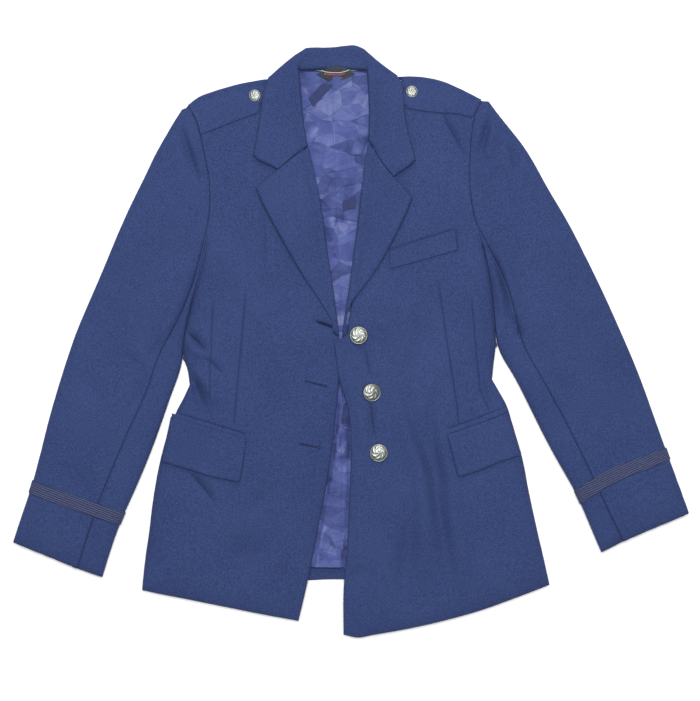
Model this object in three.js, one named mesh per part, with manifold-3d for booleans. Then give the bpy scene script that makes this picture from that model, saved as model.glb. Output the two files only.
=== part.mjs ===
// A military dress tunic, laid flat on its back. Millimetres, +Z up; +X is the wearer's left,
// +Y runs towards the collar and z = 0 is the surface that the tunic lies on.
// "right" and "left" in a name are the wearer's: the right half lies at -X.
import * as THREE from "three";
import { mergeVertices } from "three/addons/utils/BufferGeometryUtils.js";
import Module from "manifold-3d";

const wasm = await Module();
wasm.setup();

// ---- Driving sizes ---------------------------------------------------------------------------
const BACK_WALL = 1.6;        // serge of the back
const FRONT_WALL = 2.0;       // serge with its canvas and facing
const SLEEVE_WALL = 1.8;
const LINING_WALL = 1.0;
const TRIM_WALL = 1.8;        // straps and pocket flaps
const JET_WALL = 1.2;
const TAPE_WALL = 1.0;        // label and tabs
const BRAID_WALL = 0.98;      // a hair thinner, so that its underside stays above z = 0
const HOLLOW = 3.8;           // air between the back and a front that lies on it
const SLEEVE_HEIGHT = 7.2;    // a flat sleeve: two walls and the air between them
const LAY_GAP = 0.35;         // clearance under a piece that lies on another
const SEAM_GAP = 0.4;         // clearance between two pieces that are sewn edge to edge
const TUCK = 6;               // how far a panel's edge stays inside the roll that covers it
const FOOT = 1.0;             // least straight part below a rolled edge
const MOST_ROUND = 4.4;       // largest radius of a rolled edge
const SLEEVE_TURN = 16;       // topsleeve that turns under to the hind seam
const TURN_SHARE = 0.4;       // most of a narrow sleeve's width that turns under
const ROUND_SHARE = 0.25;     // most of a narrow sleeve's width that one rounded edge takes
const BRAID_WIDTH_ROWS = 0.43;

// Spacing of the points along an outline, from plain edges to small, curved ones.
const EDGE_STEP = 19;
const GORGE_STEP = 24;
const COLLAR_STEP = 14;
const STAND_STEP = 12;
const NECK_STEP = 9;
const SEAM_STEP = 40;
const LEAST_STEP = 0.8;       // points nearer than this become one

// Longest edge inside a panel.
const PANEL_STEP = 75;
const BACK_STEP = 110;
const LINING_STEP = 130;
const STRAP_STEP = 40;

// Rings of points inside a rim that rolls.
const EDGE_RINGS = [1.1, 4.6];
const RING_ROOM = 0.38;       // share of a narrow place's width that the rings may take
const RING_PACE = 0.9;        // the same as a share of the shorter edge beside a point
const SHARPEST = 0.6;         // least slant that a corner's inset is worked out with

// How far round a point the cloth feels what lies beneath it: less where it is limp or small.
const REACH = 22;
const LAPEL_REACH = 15;
const LINING_REACH = 12;
const SMALL_REACH = 7;
const FOOT_REACH = 6;
const TAB_REACH = 4;
const TURN_UP_REACH = 2;

const FRONT_UNDER = BACK_WALL + HOLLOW;
const FRONT_TOP = FRONT_UNDER + FRONT_WALL;

const FRONT_BUTTON = 23;      // 36-ligne
const SHOULDER_BUTTON = 15;   // 24-ligne

// ---- Finishes --------------------------------------------------------------------------------
const finish = {
  serge: { color: 0x3c4a77, roughness: 0.92, metalness: 0 },
  lining: { color: 0x626ca4, roughness: 0.45, metalness: 0 },
  braid: { color: 0x414766, roughness: 0.8, metalness: 0 },
  label: { color: 0x3a3d42, roughness: 0.7, metalness: 0 },
  tape: { color: 0x333b66, roughness: 0.8, metalness: 0 },
  button: { color: 0xb8bcb9, roughness: 0.38, metalness: 1 },
};

// ---- Lines that two or more pieces share -----------------------------------------------------
// One row for each section of a sleeve, from the shoulder point down to the cuff: its outer edge,
// its front seam, and its inner edge. Down to row 7 the front seam and the inner edge are the
// armhole seam; after it the inner edge lies against the body and then swings clear of it.
const sleeveRows = {
  right: [
    { out: [-212, 290], seam: [-203, 292], inn: [-203, 292] },
    { out: [-222, 275], seam: [-194, 276], inn: [-194, 276] },
    { out: [-233, 256], seam: [-188, 256], inn: [-188, 256] },
    { out: [-245, 235], seam: [-183, 233], inn: [-183, 233] },
    { out: [-256, 211], seam: [-178, 207], inn: [-178, 207] },
    { out: [-268, 187], seam: [-176, 180], inn: [-176, 180] },
    { out: [-281, 160], seam: [-178, 151], inn: [-178, 151] },
    { out: [-295, 128], seam: [-186, 117], inn: [-182, 117] },
    { out: [-306, 101], seam: [-195, 82], inn: [-190, 82] },
    { out: [-317, 75], seam: [-207, 46], inn: [-200, 45] },
    { out: [-333, 38], seam: [-227, 5], inn: [-210, 0] },
    { out: [-344, 12], seam: [-242, -19], inn: [-211, -28] },
    { out: [-355, -20], seam: [-251, -53], inn: [-224, -63] },
    { out: [-367, -58], seam: [-268, -89], inn: [-237, -101] },
    { out: [-379, -100], seam: [-286, -130], inn: [-252, -142] },
    { out: [-390, -146], seam: [-304, -173], inn: [-270, -185] },
    { out: [-400, -182], seam: [-317, -206], inn: [-284, -215] },
    { out: [-412, -217], seam: [-329, -244], inn: [-298, -252] },
    { out: [-423, -250], seam: [-342, -283], inn: [-311, -294] },
  ],
  left: [
    { out: [172, 300], seam: [162, 300], inn: [162, 300] },
    { out: [187, 280], seam: [154, 282], inn: [154, 282] },
    { out: [205, 258], seam: [150, 260], inn: [150, 260] },
    { out: [220, 238], seam: [148, 233], inn: [148, 233] },
    { out: [233, 215], seam: [147, 206], inn: [147, 206] },
    { out: [246, 191], seam: [149, 178], inn: [149, 178] },
    { out: [260, 168], seam: [154, 151], inn: [154, 151] },
    { out: [276, 140], seam: [168, 124], inn: [163, 122] },
    { out: [291, 110], seam: [182, 97], inn: [171, 92] },
    { out: [306, 80], seam: [195, 66], inn: [176, 60] },
    { out: [322, 46], seam: [205, 30], inn: [179, 22] },
    { out: [337, 12], seam: [213, -3], inn: [183, -10] },
    { out: [351, -20], seam: [229, -31], inn: [201, -39] },
    { out: [364, -53], seam: [246, -61], inn: [217, -70] },
    { out: [376, -87], seam: [264, -94], inn: [236, -109] },
    { out: [388, -121], seam: [283, -132], inn: [256, -147] },
    { out: [400, -154], seam: [302, -172], inn: [279, -186] },
    { out: [411, -184], seam: [320, -211], inn: [295, -223] },
    { out: [422, -214], seam: [339, -249], inn: [312, -263] },
  ],
};
const ARMPIT_ROW = 6;         // last row on the armhole seam
const CLEAR_ROW = 11;         // row where the sleeve's inner edge leaves the body
const ROWS_PER_STATION = 2 / 3;

// Where the braid's upper edge crosses the sleeve, in rows, at its outer and its inner edge.
const braidRows = {
  right: { out: 15.75, inn: 15.93 },
  left: { out: 15.35, inn: 16.0 },
};

// Front edge and lapel roll, from the hem corner up to the neck.
const frontEdge = {
  right: [[-66, -349], [-55, -302], [-46, -258], [-38, -215], [-30, -173], [-24, -134],
    [-20, -98], [-16, -60], [-14, -24], [-15, 4]],
  left: [[-10, -366], [-10, -311], [-6, -261], [-3, -205], [-1, -148], [-1, -112], [-6, -78],
    [-14, -54], [-19, -26], [-22, -3]],
};
const roll = {
  right: [[-15, 10], [-19, 39], [-24, 77], [-30, 115], [-36, 158], [-44, 202], [-54, 244],
    [-59, 272], [-62, 302], [-65, 338], [-67, 361]],
  left: [[-11, 10], [-10, 22], [-6, 47], [-1, 84], [5, 128], [11, 177], [16, 218], [21, 252],
    [22, 280], [21, 308], [19, 338], [16, 366]],
};
const GORGE_AT = { right: 6, left: 7 };   // the roll's point where the gorge seam meets it

// Gorge seam, from the roll to the notch.
const gorge = {
  right: [[-54, 244], [-71, 231], [-91, 214]],
  left: [[21, 252], [37, 224], [52, 205]],
};

// Shoulder line as seen from above, from the neck to the shoulder point.
const shoulder = {
  right: [[-67, 361], [-80, 351], [-104, 330], [-139, 322], [-170, 313], [-189, 306], [-204, 295]],
  left: [[16, 366], [36, 349], [57, 333], [84, 331], [111, 326], [137, 315], [162, 302]],
};
const NECK_TO_STRAP = 2;      // the shoulder's point where the collar ends and the strap starts

// Side of the body below the armhole, down to the hem.
const side = {
  right: [[-205, -36], [-201, -47], [-212, -74], [-225, -100], [-239, -148], [-247, -190],
    [-253, -235], [-259, -280], [-262, -311]],
  left: [[178, -28], [176, -47], [192, -74], [204, -111], [214, -146], [222, -186], [231, -228],
    [240, -268], [248, -304]],
};
const hem = {
  right: [[-262, -311], [-210, -321], [-160, -331], [-110, -341], [-66, -349]],
  left: [[-10, -366], [-4, -370], [36, -365], [98, -353], [161, -336], [211, -318], [248, -304]],
};

const centreBack = [[-22, 337], [-18, 250], [-13, 160], [-9, 60], [-8, -80], [-8, -297]];

// ---- Plane outlines --------------------------------------------------------------------------
const vec = ([x, y]) => new THREE.Vector2(x, y);

// A smooth line through a few points, with a point about every EDGE_STEP.
function smooth(points, step = EDGE_STEP) {
  const curve = new THREE.CatmullRomCurve3(points.map(([x, y]) => new THREE.Vector3(x, y, 0)));
  curve.curveType = "centripetal";
  const count = Math.max(1, Math.round(curve.getLength() / step));
  return curve.getSpacedPoints(count).map((p) => new THREE.Vector2(p.x, p.y));
}

const straight = (points) => points.map(vec);
const moved = (points, dx, dy) => points.map(([x, y]) => [x + dx, y + dy]);

// One closed outline, counter-clockwise, from stretches that follow each other.
function loop(...stretches) {
  const points = [];
  for (const p of stretches.flat()) {
    const last = points[points.length - 1];
    if (!last || last.distanceTo(p) > LEAST_STEP) points.push(p.clone());
  }
  if (points[0].distanceTo(points[points.length - 1]) < LEAST_STEP) points.pop();
  if (THREE.ShapeUtils.area(points) < 0) points.reverse();
  return points;
}

// Distance from p, along dir, to the outline's far side.
function acrossOutline(outline, p, dir) {
  let nearest = Infinity;
  outline.forEach((a, i) => {
    const b = outline[(i + 1) % outline.length];
    const edge = b.clone().sub(a);
    const cross = dir.x * edge.y - dir.y * edge.x;
    if (Math.abs(cross) < 1e-9) return;
    const toA = a.clone().sub(p);
    const along = (toA.x * edge.y - toA.y * edge.x) / cross;
    const at = (toA.x * dir.y - toA.y * dir.x) / cross;
    if (along > 0.05 && at > -0.01 && at < 1.01) nearest = Math.min(nearest, along);
  });
  return nearest;
}

// The outline moved inwards, by less where it is too narrow for the whole depth.
function inset(outline, depth, deepest = depth) {
  const n = outline.length;
  return outline.map((p, i) => {
    const before = p.clone().sub(outline[(i + n - 1) % n]);
    const after = outline[(i + 1) % n].clone().sub(p);
    const shorter = Math.min(before.length(), after.length());
    before.normalize();
    after.normalize();
    const inward = new THREE.Vector2(-before.y - after.y, before.x + after.x).normalize();
    const slant = Math.max(SHARPEST, inward.dot(new THREE.Vector2(-after.y, after.x)));
    const width = acrossOutline(outline, p, inward);
    const room = Math.min(width * RING_ROOM, shorter * RING_PACE);
    const share = Math.min(1, (room * slant) / deepest);
    return p.clone().addScaledVector(inward, (depth / slant) * share);
  });
}

// Distance from a point to an open line.
function distanceTo(line, p) {
  let nearest = Infinity;
  for (let i = 1; i < line.length; i += 1) {
    const edge = line[i].clone().sub(line[i - 1]);
    const t = THREE.MathUtils.clamp(p.clone().sub(line[i - 1]).dot(edge) / edge.lengthSq(), 0, 1);
    nearest = Math.min(nearest, p.distanceTo(line[i - 1].clone().addScaledVector(edge, t)));
  }
  return nearest;
}

// ---- Cloth cut to an outline -----------------------------------------------------------------
// Points and triangles of a panel in the plane: rings just inside the rim, then the middle.
function cut(outline, { rings = [], step = PANEL_STEP } = {}) {
  const rim = inset(outline, SEAM_GAP / 2);
  const points = [...rim];
  const triangles = [];
  let inner = rim;
  let start = 0;
  for (const depth of rings) {
    const next = inset(rim, depth, rings[rings.length - 1]);
    const from = start;
    start = points.length;
    points.push(...next);
    next.forEach((_, i) => {
      const j = (i + 1) % next.length;
      triangles.push([from + i, from + j, start + j], [from + i, start + j, start + i]);
    });
    inner = next;
  }
  for (const [a, b, c] of THREE.ShapeUtils.triangulateShape(inner, [])) {
    triangles.push([start + a, start + b, start + c]);
  }
  return divide({ points, triangles, rim: rim.map((_, i) => i) }, step);
}

// Splits every edge that is longer than the step, until none is.
function divide(panel, step) {
  const { points } = panel;
  let { triangles, rim } = panel;
  for (let pass = 0; pass < 6; pass += 1) {
    const middles = new Map();
    const middle = (a, b) => {
      if (points[a].distanceTo(points[b]) <= step) return -1;
      const key = a < b ? `${a} ${b}` : `${b} ${a}`;
      if (!middles.has(key)) {
        middles.set(key, points.push(points[a].clone().add(points[b]).multiplyScalar(0.5)) - 1);
      }
      return middles.get(key);
    };
    const next = [];
    for (const [a, b, c] of triangles) {
      const mids = [middle(a, b), middle(b, c), middle(c, a)];
      const turn = mids.findIndex((m, i) => m >= 0 && mids[(i + 2) % 3] < 0);
      const k = turn < 0 ? 0 : turn;
      const [p, q, r] = [a, b, c].map((_, i) => [a, b, c][(i + k) % 3]);
      const [pq, qr, rp] = mids.map((_, i) => mids[(i + k) % 3]);
      if (pq < 0) next.push([p, q, r]);
      else if (qr < 0) next.push([p, pq, r], [pq, q, r]);
      else if (rp < 0) next.push([p, pq, r], [pq, qr, r], [pq, q, qr]);
      else next.push([p, pq, rp], [pq, q, qr], [rp, qr, r], [pq, qr, rp]);
    }
    const done = next.length === triangles.length;
    triangles = next;
    rim = rim.flatMap((a, i) => {
      const mid = middle(a, rim[(i + 1) % rim.length]);
      return mid < 0 ? [a] : [a, mid];
    });
    if (done) break;
  }
  return { points, triangles, rim };
}

// Highest face of the pieces below, within reach of a point.
function groundUnder(pieces, p, reach) {
  let highest = 0;
  for (const { panel, top } of pieces) {
    for (const [a, b, c] of panel.triangles) {
      const height = Math.max(top[a], top[b], top[c]);
      if (height <= highest) continue;
      const corners = [panel.points[a], panel.points[b], panel.points[c]];
      const box = new THREE.Box2().setFromPoints(corners);
      if (box.distanceToPoint(p) > reach) continue;
      const near = distanceTo([...corners, corners[0]], p) <= reach;
      if (near || insideTriangle(corners, p)) highest = height;
    }
  }
  return highest;
}

function insideTriangle([a, b, c], p) {
  const turn = (u, v) => Math.sign((v.x - u.x) * (p.y - u.y) - (v.y - u.y) * (p.x - u.x));
  return turn(a, b) === turn(b, c) && turn(b, c) === turn(c, a);
}

// Lays a cut panel on the pieces below it. An edge listed in `rolls` turns down in a quarter
// round of even wall, to a foot that clears what is under it.
function lay(panel, { wall, floor = 0, on = [], reach = REACH, rolls = [], rise = () => 0 }) {
  const top = [];
  const under = [];
  panel.points.forEach((p) => {
    const ground = on.length ? groundUnder(on, p, reach) + LAY_GAP : 0;
    const base = Math.max(floor, ground) + rise(p);
    let high = base + wall;
    let low = base;
    for (const { line, foot, footOn } of rolls) {
      const away = Math.max(0, distanceTo(line, p) - SEAM_GAP / 2);
      const support = footOn ? groundUnder(footOn, p, FOOT_REACH) + LAY_GAP : foot;
      const radius = Math.min(MOST_ROUND, base + wall - support - FOOT);
      if (away >= radius) continue;
      const arc = (r) => Math.sqrt(Math.max(0, r * r - (radius - away) ** 2));
      const crown = base + wall - radius;
      high = Math.min(high, crown + arc(radius));
      const foothold = (crown - support) * Math.max(0, 1 - away / wall);
      low = Math.min(low, crown + arc(radius - wall) - foothold);
    }
    top.push(high);
    under.push(low);
  });
  return { panel, top, under };
}

// The closed wall of a piece that has been laid.
function wallGeometry({ panel, top, under }) {
  const { points, triangles, rim } = panel;
  const n = points.length;
  const position = [];
  points.forEach((p, i) => position.push(p.x, p.y, top[i]));
  points.forEach((p, i) => position.push(p.x, p.y, under[i]));
  const index = [];
  for (const [a, b, c] of triangles) index.push(a, b, c, n + a, n + c, n + b);
  rim.forEach((a, i) => {
    const b = rim[(i + 1) % rim.length];
    index.push(a, n + a, b, b, n + a, n + b);
  });
  return geometryOf(position, index);
}

function geometryOf(position, index) {
  const geometry = new THREE.BufferGeometry();
  geometry.setAttribute("position", new THREE.Float32BufferAttribute(position, 3));
  geometry.setIndex(index);
  geometry.computeVertexNormals();
  return geometry;
}

// ---- Joining with manifold -------------------------------------------------------------------
function solidOf(geometry) {
  const bare = geometry.clone();
  bare.deleteAttribute("normal");
  bare.deleteAttribute("uv");
  const merged = mergeVertices(bare, 1e-4);
  return new wasm.Manifold(new wasm.Mesh({
    numProp: 3,
    vertProperties: new Float32Array(merged.attributes.position.array),
    triVerts: new Uint32Array(merged.index.array),
  }));
}

function geometryFromSolid(solid) {
  const mesh = solid.getMesh();
  return geometryOf(Array.from(mesh.vertProperties), Array.from(mesh.triVerts));
}

// ---- The model -------------------------------------------------------------------------------
const tunic = new THREE.Group();

function add(name, geometry, look, place = tunic) {
  const mesh = new THREE.Mesh(geometry, new THREE.MeshStandardMaterial(finish[look]));
  mesh.name = name;
  place.add(mesh);
  return mesh;
}

const SIDES = ["right", "left"];
const outward = { right: -1, left: 1 };

// Sleeve rails: each gives the plan point at a row, which may lie between two rows.
function rail(rows, key) {
  const points = rows.map((row) => new THREE.Vector3(...row[key], 0));
  const curve = new THREE.CatmullRomCurve3(points, false, "centripetal");
  return (row) => {
    const p = curve.getPoint(row / (rows.length - 1));
    return new THREE.Vector2(p.x, p.y);
  };
}

const stations = [];
const lastRow = sleeveRows.right.length - 1;
const stationCount = Math.round(lastRow / ROWS_PER_STATION);
for (let i = 0; i <= stationCount; i += 1) stations.push((i * lastRow) / stationCount);

const rails = {};
for (const hand of SIDES) {
  const rows = sleeveRows[hand];
  rails[hand] = { out: rail(rows, "out"), seam: rail(rows, "seam"), inn: rail(rows, "inn") };
}

// The body's edge from the shoulder point down to the hem: armhole, crevice, then the side.
function bodySide(hand) {
  const upper = stations.filter((row) => row > 0 && row <= CLEAR_ROW)
    .map((row) => rails[hand].inn(row));
  return [...upper, ...smooth(side[hand])];
}

// Shoulder and roll lines as the panels under them follow them, inside the rolls.
const tuckedShoulder = (hand) => smooth(moved(shoulder[hand], -outward[hand], -TUCK).slice(1));
const tuckedRoll = (hand) => smooth(moved(roll[hand].slice(0, -2), outward[hand] * TUCK, 0));

// ---- Back: two panels with a seam down the middle --------------------------------------------
const backHemLine = { right: [-262, -308], left: [248, -302] };
const laidBack = {};
for (const hand of SIDES) {
  const edge = bodySide(hand).slice(0, -1);
  const outline = loop(
    smooth(centreBack, SEAM_STEP),
    straight([backHemLine[hand]]),
    edge.reverse(),
    [...tuckedShoulder(hand)].reverse(),
  );
  laidBack[hand] = lay(cut(outline, { step: BACK_STEP }), { wall: BACK_WALL });
  add(`back_${hand}`, wallGeometry(laidBack[hand]), "serge");
}
const backs = [laidBack.right, laidBack.left];

// ---- Back lining, where it shows, with its pleat ---------------------------------------------
const liningOutline = {
  right: [[-86, 330], [-60, 337], [-22, 337], [-16, 250], [-11, 160], [-7, 60], [-6, -80],
    [-6, -282], [-84, -281], [-74, -200], [-52, -100], [-46, -20], [-62, 90], [-88, 220]],
  left: [[-24, 337], [14, 337], [36, 330], [44, 240], [36, 120], [22, 20], [20, -80],
    [18, -282], [-12, -282], [-13, -80], [-14, 60], [-18, 160], [-22, 250]],
};
const laidLining = {};
for (const hand of SIDES) {
  laidLining[hand] = lay(cut(loop(straight(liningOutline[hand])), { step: LINING_STEP }), {
    wall: LINING_WALL,
    on: hand === "left" ? [...backs, laidLining.right] : backs,
    reach: LINING_REACH,
  });
  add(`back_lining_${hand}`, wallGeometry(laidLining[hand]), "lining");
}
const linings = [laidLining.right, laidLining.left];

// Turned-up hem of the back, below the lining.
const turnUp = lay(
  cut(loop(straight([[-96, -297.5], [32, -297.5], [32, -283.5], [-96, -283.5]]))),
  { wall: LINING_WALL, on: backs, reach: TURN_UP_REACH },
);
add("back_hem", wallGeometry(turnUp), "serge");

// ---- Fronts ----------------------------------------------------------------------------------
// Buttonholes down the right front: eye end, other end. Each is a slit with a round eye.
const buttonholes = [
  { eye: [-21, 17.5], tail: [-42, 24.5] },
  { eye: [-32, -55.5], tail: [-56, -49.5] },
  { eye: [-40, -132], tail: [-62, -127.5] },
];
const EYE_RADIUS = 1.9;
const SLIT_HALF = 0.6;

function buttonhole({ eye, tail }) {
  const along = vec(tail).sub(vec(eye)).normalize();
  const across = new THREE.Vector2(-along.y, along.x);
  const points = [];
  const EYE_POINTS = 7;
  for (let i = 0; i < EYE_POINTS; i += 1) {
    const a = Math.PI * (0.2 + (1.6 * i) / (EYE_POINTS - 1));
    points.push(vec(eye)
      .addScaledVector(along, EYE_RADIUS * Math.cos(a))
      .addScaledVector(across, EYE_RADIUS * Math.sin(a)));
  }
  points.push(vec(tail).addScaledVector(across, -SLIT_HALF));
  points.push(vec(tail).addScaledVector(across, SLIT_HALF));
  const prism = new THREE.ExtrudeGeometry(new THREE.Shape(points), {
    depth: FRONT_TOP, bevelEnabled: false,
  });
  return solidOf(prism.translate(0, 0, FRONT_UNDER - FRONT_WALL));
}

const laidFront = {};
for (const hand of SIDES) {
  const edge = bodySide(hand);
  const shoulderEdge = tuckedShoulder(hand);
  const outline = loop(
    smooth(hand === "right" ? hem.right : [...hem.left].reverse()),
    hand === "right" ? smooth(frontEdge.right) : [],
    hand === "right" ? tuckedRoll("right") : [],
    hand === "right" ? shoulderEdge : [],
    hand === "right" ? edge : [],
    hand === "left" ? smooth(frontEdge.left) : [],
    hand === "left" ? straight([[-12, 5]]) : [],
    hand === "left" ? tuckedRoll("left") : [],
    hand === "left" ? shoulderEdge : [],
    hand === "left" ? edge : [],
  );
  const sideLine = edge.slice(stations.filter((row) => row <= ARMPIT_ROW).length);
  laidFront[hand] = lay(cut(outline, { rings: EDGE_RINGS }), {
    wall: FRONT_WALL,
    floor: FRONT_UNDER,
    on: [...linings, turnUp, ...(hand === "left" ? [laidFront.right] : [])],
    rolls: [
      { line: sideLine, footOn: backs },
      { line: shoulderEdge, footOn: backs },
    ],
  });
  if (hand === "left") {
    add("front_left", wallGeometry(laidFront.left), "serge");
    continue;
  }
  const pierced = buttonholes.map(buttonhole).reduce(
    (front, hole) => front.subtract(hole),
    solidOf(wallGeometry(laidFront.right)),
  );
  add("front_right", geometryFromSolid(pierced), "serge");
}

// ---- Trim that lies on the fronts ------------------------------------------------------------
// Pockets: a jet above each flap.
const pocket = {
  right: {
    jet: [[-224, -89], [-206, -94], [-131, -117], [-131, -122.5], [-206, -100], [-224, -94.5]],
    flap: [[-225, -93], [-206, -98], [-131, -121], [-134, -150], [-138, -173], [-142, -175],
      [-170, -169], [-205, -159], [-236, -149.5], [-238, -146], [-231, -120]],
  },
  left: {
    jet: [[122, -109.5], [158, -97], [194, -82.5], [194, -88.5], [158, -102.5], [122, -115]],
    flap: [[119, -115.5], [158, -102], [195.5, -88], [204, -115], [212, -139], [210, -142],
      [185, -150], [161, -160], [136, -168.5], [132, -167]],
  },
};
for (const hand of SIDES) {
  const jet = lay(cut(loop(straight(pocket[hand].jet))), {
    wall: JET_WALL, on: [laidFront[hand]], reach: SMALL_REACH,
  });
  add(`pocket_jet_${hand}`, wallGeometry(jet), "serge");
  const flap = lay(cut(loop(straight(pocket[hand].flap))), {
    wall: TRIM_WALL, on: [laidFront[hand], jet], reach: SMALL_REACH,
  });
  add(`pocket_flap_${hand}`, wallGeometry(flap), "serge");
}

const welt = lay(cut(loop(straight([[47, 112], [129, 138.5], [132, 113.5], [48, 90]]))), {
  wall: TRIM_WALL, on: [laidFront.left], reach: SMALL_REACH,
});
add("breast_welt", wallGeometry(welt), "serge");

// Shoulder straps: sewn in at the armhole, with the free end at the collar's edge.
const strapFront = {
  right: [[-188, 257], [-170, 264], [-139, 276], [-116, 284]],
  left: [[150.5, 279], [137, 282], [117, 284], [93, 286], [69, 290]],
};
const STRAP_BACK = 1;         // the strap's sewn end stops this far short of the sleeve
const strapRows = { right: 2, left: 1 };  // rows of the armhole that its sewn end covers
const strapTip = {
  right: [[-115, 288], [-112.5, 304], [-106, 328]],
  left: [[67.5, 296], [65.5, 320], [60, 331]],
};
const laidStrap = {};
for (const hand of SIDES) {
  const rear = smooth([strapTip[hand][2], ...shoulder[hand].slice(NECK_TO_STRAP + 1)]);
  const armholeEnd = stations.filter((row) => row < strapRows[hand]).map((row) => (
    rails[hand].inn(row).add(new THREE.Vector2(-outward[hand] * STRAP_BACK, 0))
  ));
  const outline = loop(
    rear,
    armholeEnd,
    smooth(strapFront[hand]),
    straight(strapTip[hand].slice(0, 2)),
  );
  laidStrap[hand] = lay(cut(outline, { rings: EDGE_RINGS, step: STRAP_STEP }), {
    wall: TRIM_WALL,
    on: [laidFront[hand]],
    reach: SMALL_REACH,
    floor: FRONT_TOP + LAY_GAP,
    rolls: [{ line: rear, foot: FRONT_UNDER - FOOT }],
  });
  add(`shoulder_strap_${hand}`, wallGeometry(laidStrap[hand]), "serge");
}

// ---- Lapels, turned back on the fronts -------------------------------------------------------
const lapelEdge = {
  right: [[-91, 214], [-113, 199], [-118, 195], [-118, 188], [-101, 152], [-82, 118],
    [-64, 87], [-41, 53], [-26, 29], [-17, 14]],
  left: [[52, 205], [72, 186], [76, 181], [75, 174], [65, 152], [55, 131], [44, 111], [31, 89],
    [17, 70], [5, 56], [-3, 41], [-7, 26], [-10, 14]],
};
for (const hand of SIDES) {
  const rollLine = smooth(roll[hand].slice(0, GORGE_AT[hand] + 1));
  const outline = loop(rollLine, smooth(gorge[hand], GORGE_STEP), smooth(lapelEdge[hand]));
  const lapel = lay(cut(outline, { rings: EDGE_RINGS }), {
    wall: FRONT_WALL,
    on: [laidFront[hand]],
    reach: LAPEL_REACH,
    floor: FRONT_TOP + LAY_GAP,
    rolls: [{ line: rollLine, foot: FRONT_UNDER - FOOT }],
  });
  add(`lapel_${hand}`, wallGeometry(lapel), "serge");
}

const neckSilhouette = {
  right: smooth(shoulder.right.slice(0, NECK_TO_STRAP + 1), NECK_STEP),
  left: smooth(shoulder.left.slice(0, NECK_TO_STRAP + 1), NECK_STEP),
};

// ---- Collar: two front falls, the stand behind the neck and the fall under the back ----------
const COLLAR_FLOOR = FRONT_TOP + LAY_GAP;
const COLLAR_FOOT = 0.15;
const collarEdge = {
  right: [[-104, 330], [-111, 304], [-113, 288], [-116, 270], [-119, 251], [-121, 229],
    [-118, 226], [-91, 214]],
  left: [[57, 333], [64, 320], [66, 296], [69, 271], [75, 246], [80, 226], [78, 222],
    [52, 205]],
};
const collarParts = [];
for (const hand of SIDES) {
  const rollLine = smooth(roll[hand].slice(GORGE_AT[hand]), COLLAR_STEP);
  const outline = loop(
    rollLine,
    neckSilhouette[hand],
    smooth(collarEdge[hand], COLLAR_STEP),
    smooth([...gorge[hand]].reverse(), GORGE_STEP),
  );
  const fall = lay(cut(outline, { rings: EDGE_RINGS }), {
    wall: FRONT_WALL,
    floor: COLLAR_FLOOR,
    rolls: [
      { line: neckSilhouette[hand], foot: COLLAR_FOOT },
      { line: rollLine, foot: FRONT_UNDER - FOOT },
    ],
  });
  collarParts.push(fall);
}
const STAND_FOOT_Y = 339.5;
const STAND_TOP_Y = 357;
const STAND_LOW = 2.2;
const neckTop = smooth([[-67, 361], [-62, 366], [-26, 368], [7, 370], [16, 366]], STAND_STEP);
const standEnds = [
  smooth([[16, 366], [21, 352], [20, STAND_FOOT_Y]], STAND_STEP),
  smooth([[-64, STAND_FOOT_Y], [-70, 350], [-67, 361]], STAND_STEP),
];
const standRise = (p) => (COLLAR_FLOOR - STAND_LOW)
  * THREE.MathUtils.clamp((p.y - STAND_FOOT_Y) / (STAND_TOP_Y - STAND_FOOT_Y), 0, 1);
const stand = lay(
  cut(loop(neckTop, ...standEnds), { rings: EDGE_RINGS }),
  {
    wall: TRIM_WALL,
    floor: STAND_LOW,
    rise: standRise,
    rolls: [{ line: neckTop, foot: COLLAR_FOOT }],
  },
);
const rearFall = lay(
  cut(loop(neckTop, straight([[23, 352], [22, 341], [-70, 341], [-72, 352]]))),
  { wall: STAND_LOW - LAY_GAP - COLLAR_FOOT },
);
collarParts.push(stand, rearFall);
const collarSolid = collarParts
  .map((piece) => solidOf(wallGeometry(piece)))
  .reduce((whole, solid) => whole.add(solid));
add("collar", geometryFromSolid(collarSolid), "serge");

// ---- Label and tabs inside the neck ----------------------------------------------------------
const tabs = [
  { name: "neck_label", look: "label",
    outline: [[-44, 334], [-31, 341], [-17, 343], [-3, 340], [5, 334], [-11, 326], [-30, 326]] },
  { name: "tab_upper", look: "tape",
    outline: [[-37, 323], [-23, 321], [-48, 291], [-54, 304]] },
  { name: "tab_lower", look: "tape",
    outline: [[-11, 176], [6, 181], [5, 167], [-11, 163]] },
];
const laidTabs = [];
for (const { name, look, outline } of tabs) {
  const tab = lay(cut(loop(straight(outline))), {
    wall: TAPE_WALL, on: [...linings, stand, ...laidTabs], reach: TAB_REACH,
  });
  laidTabs.push(tab);
  add(name, wallGeometry(tab), look);
}

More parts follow.
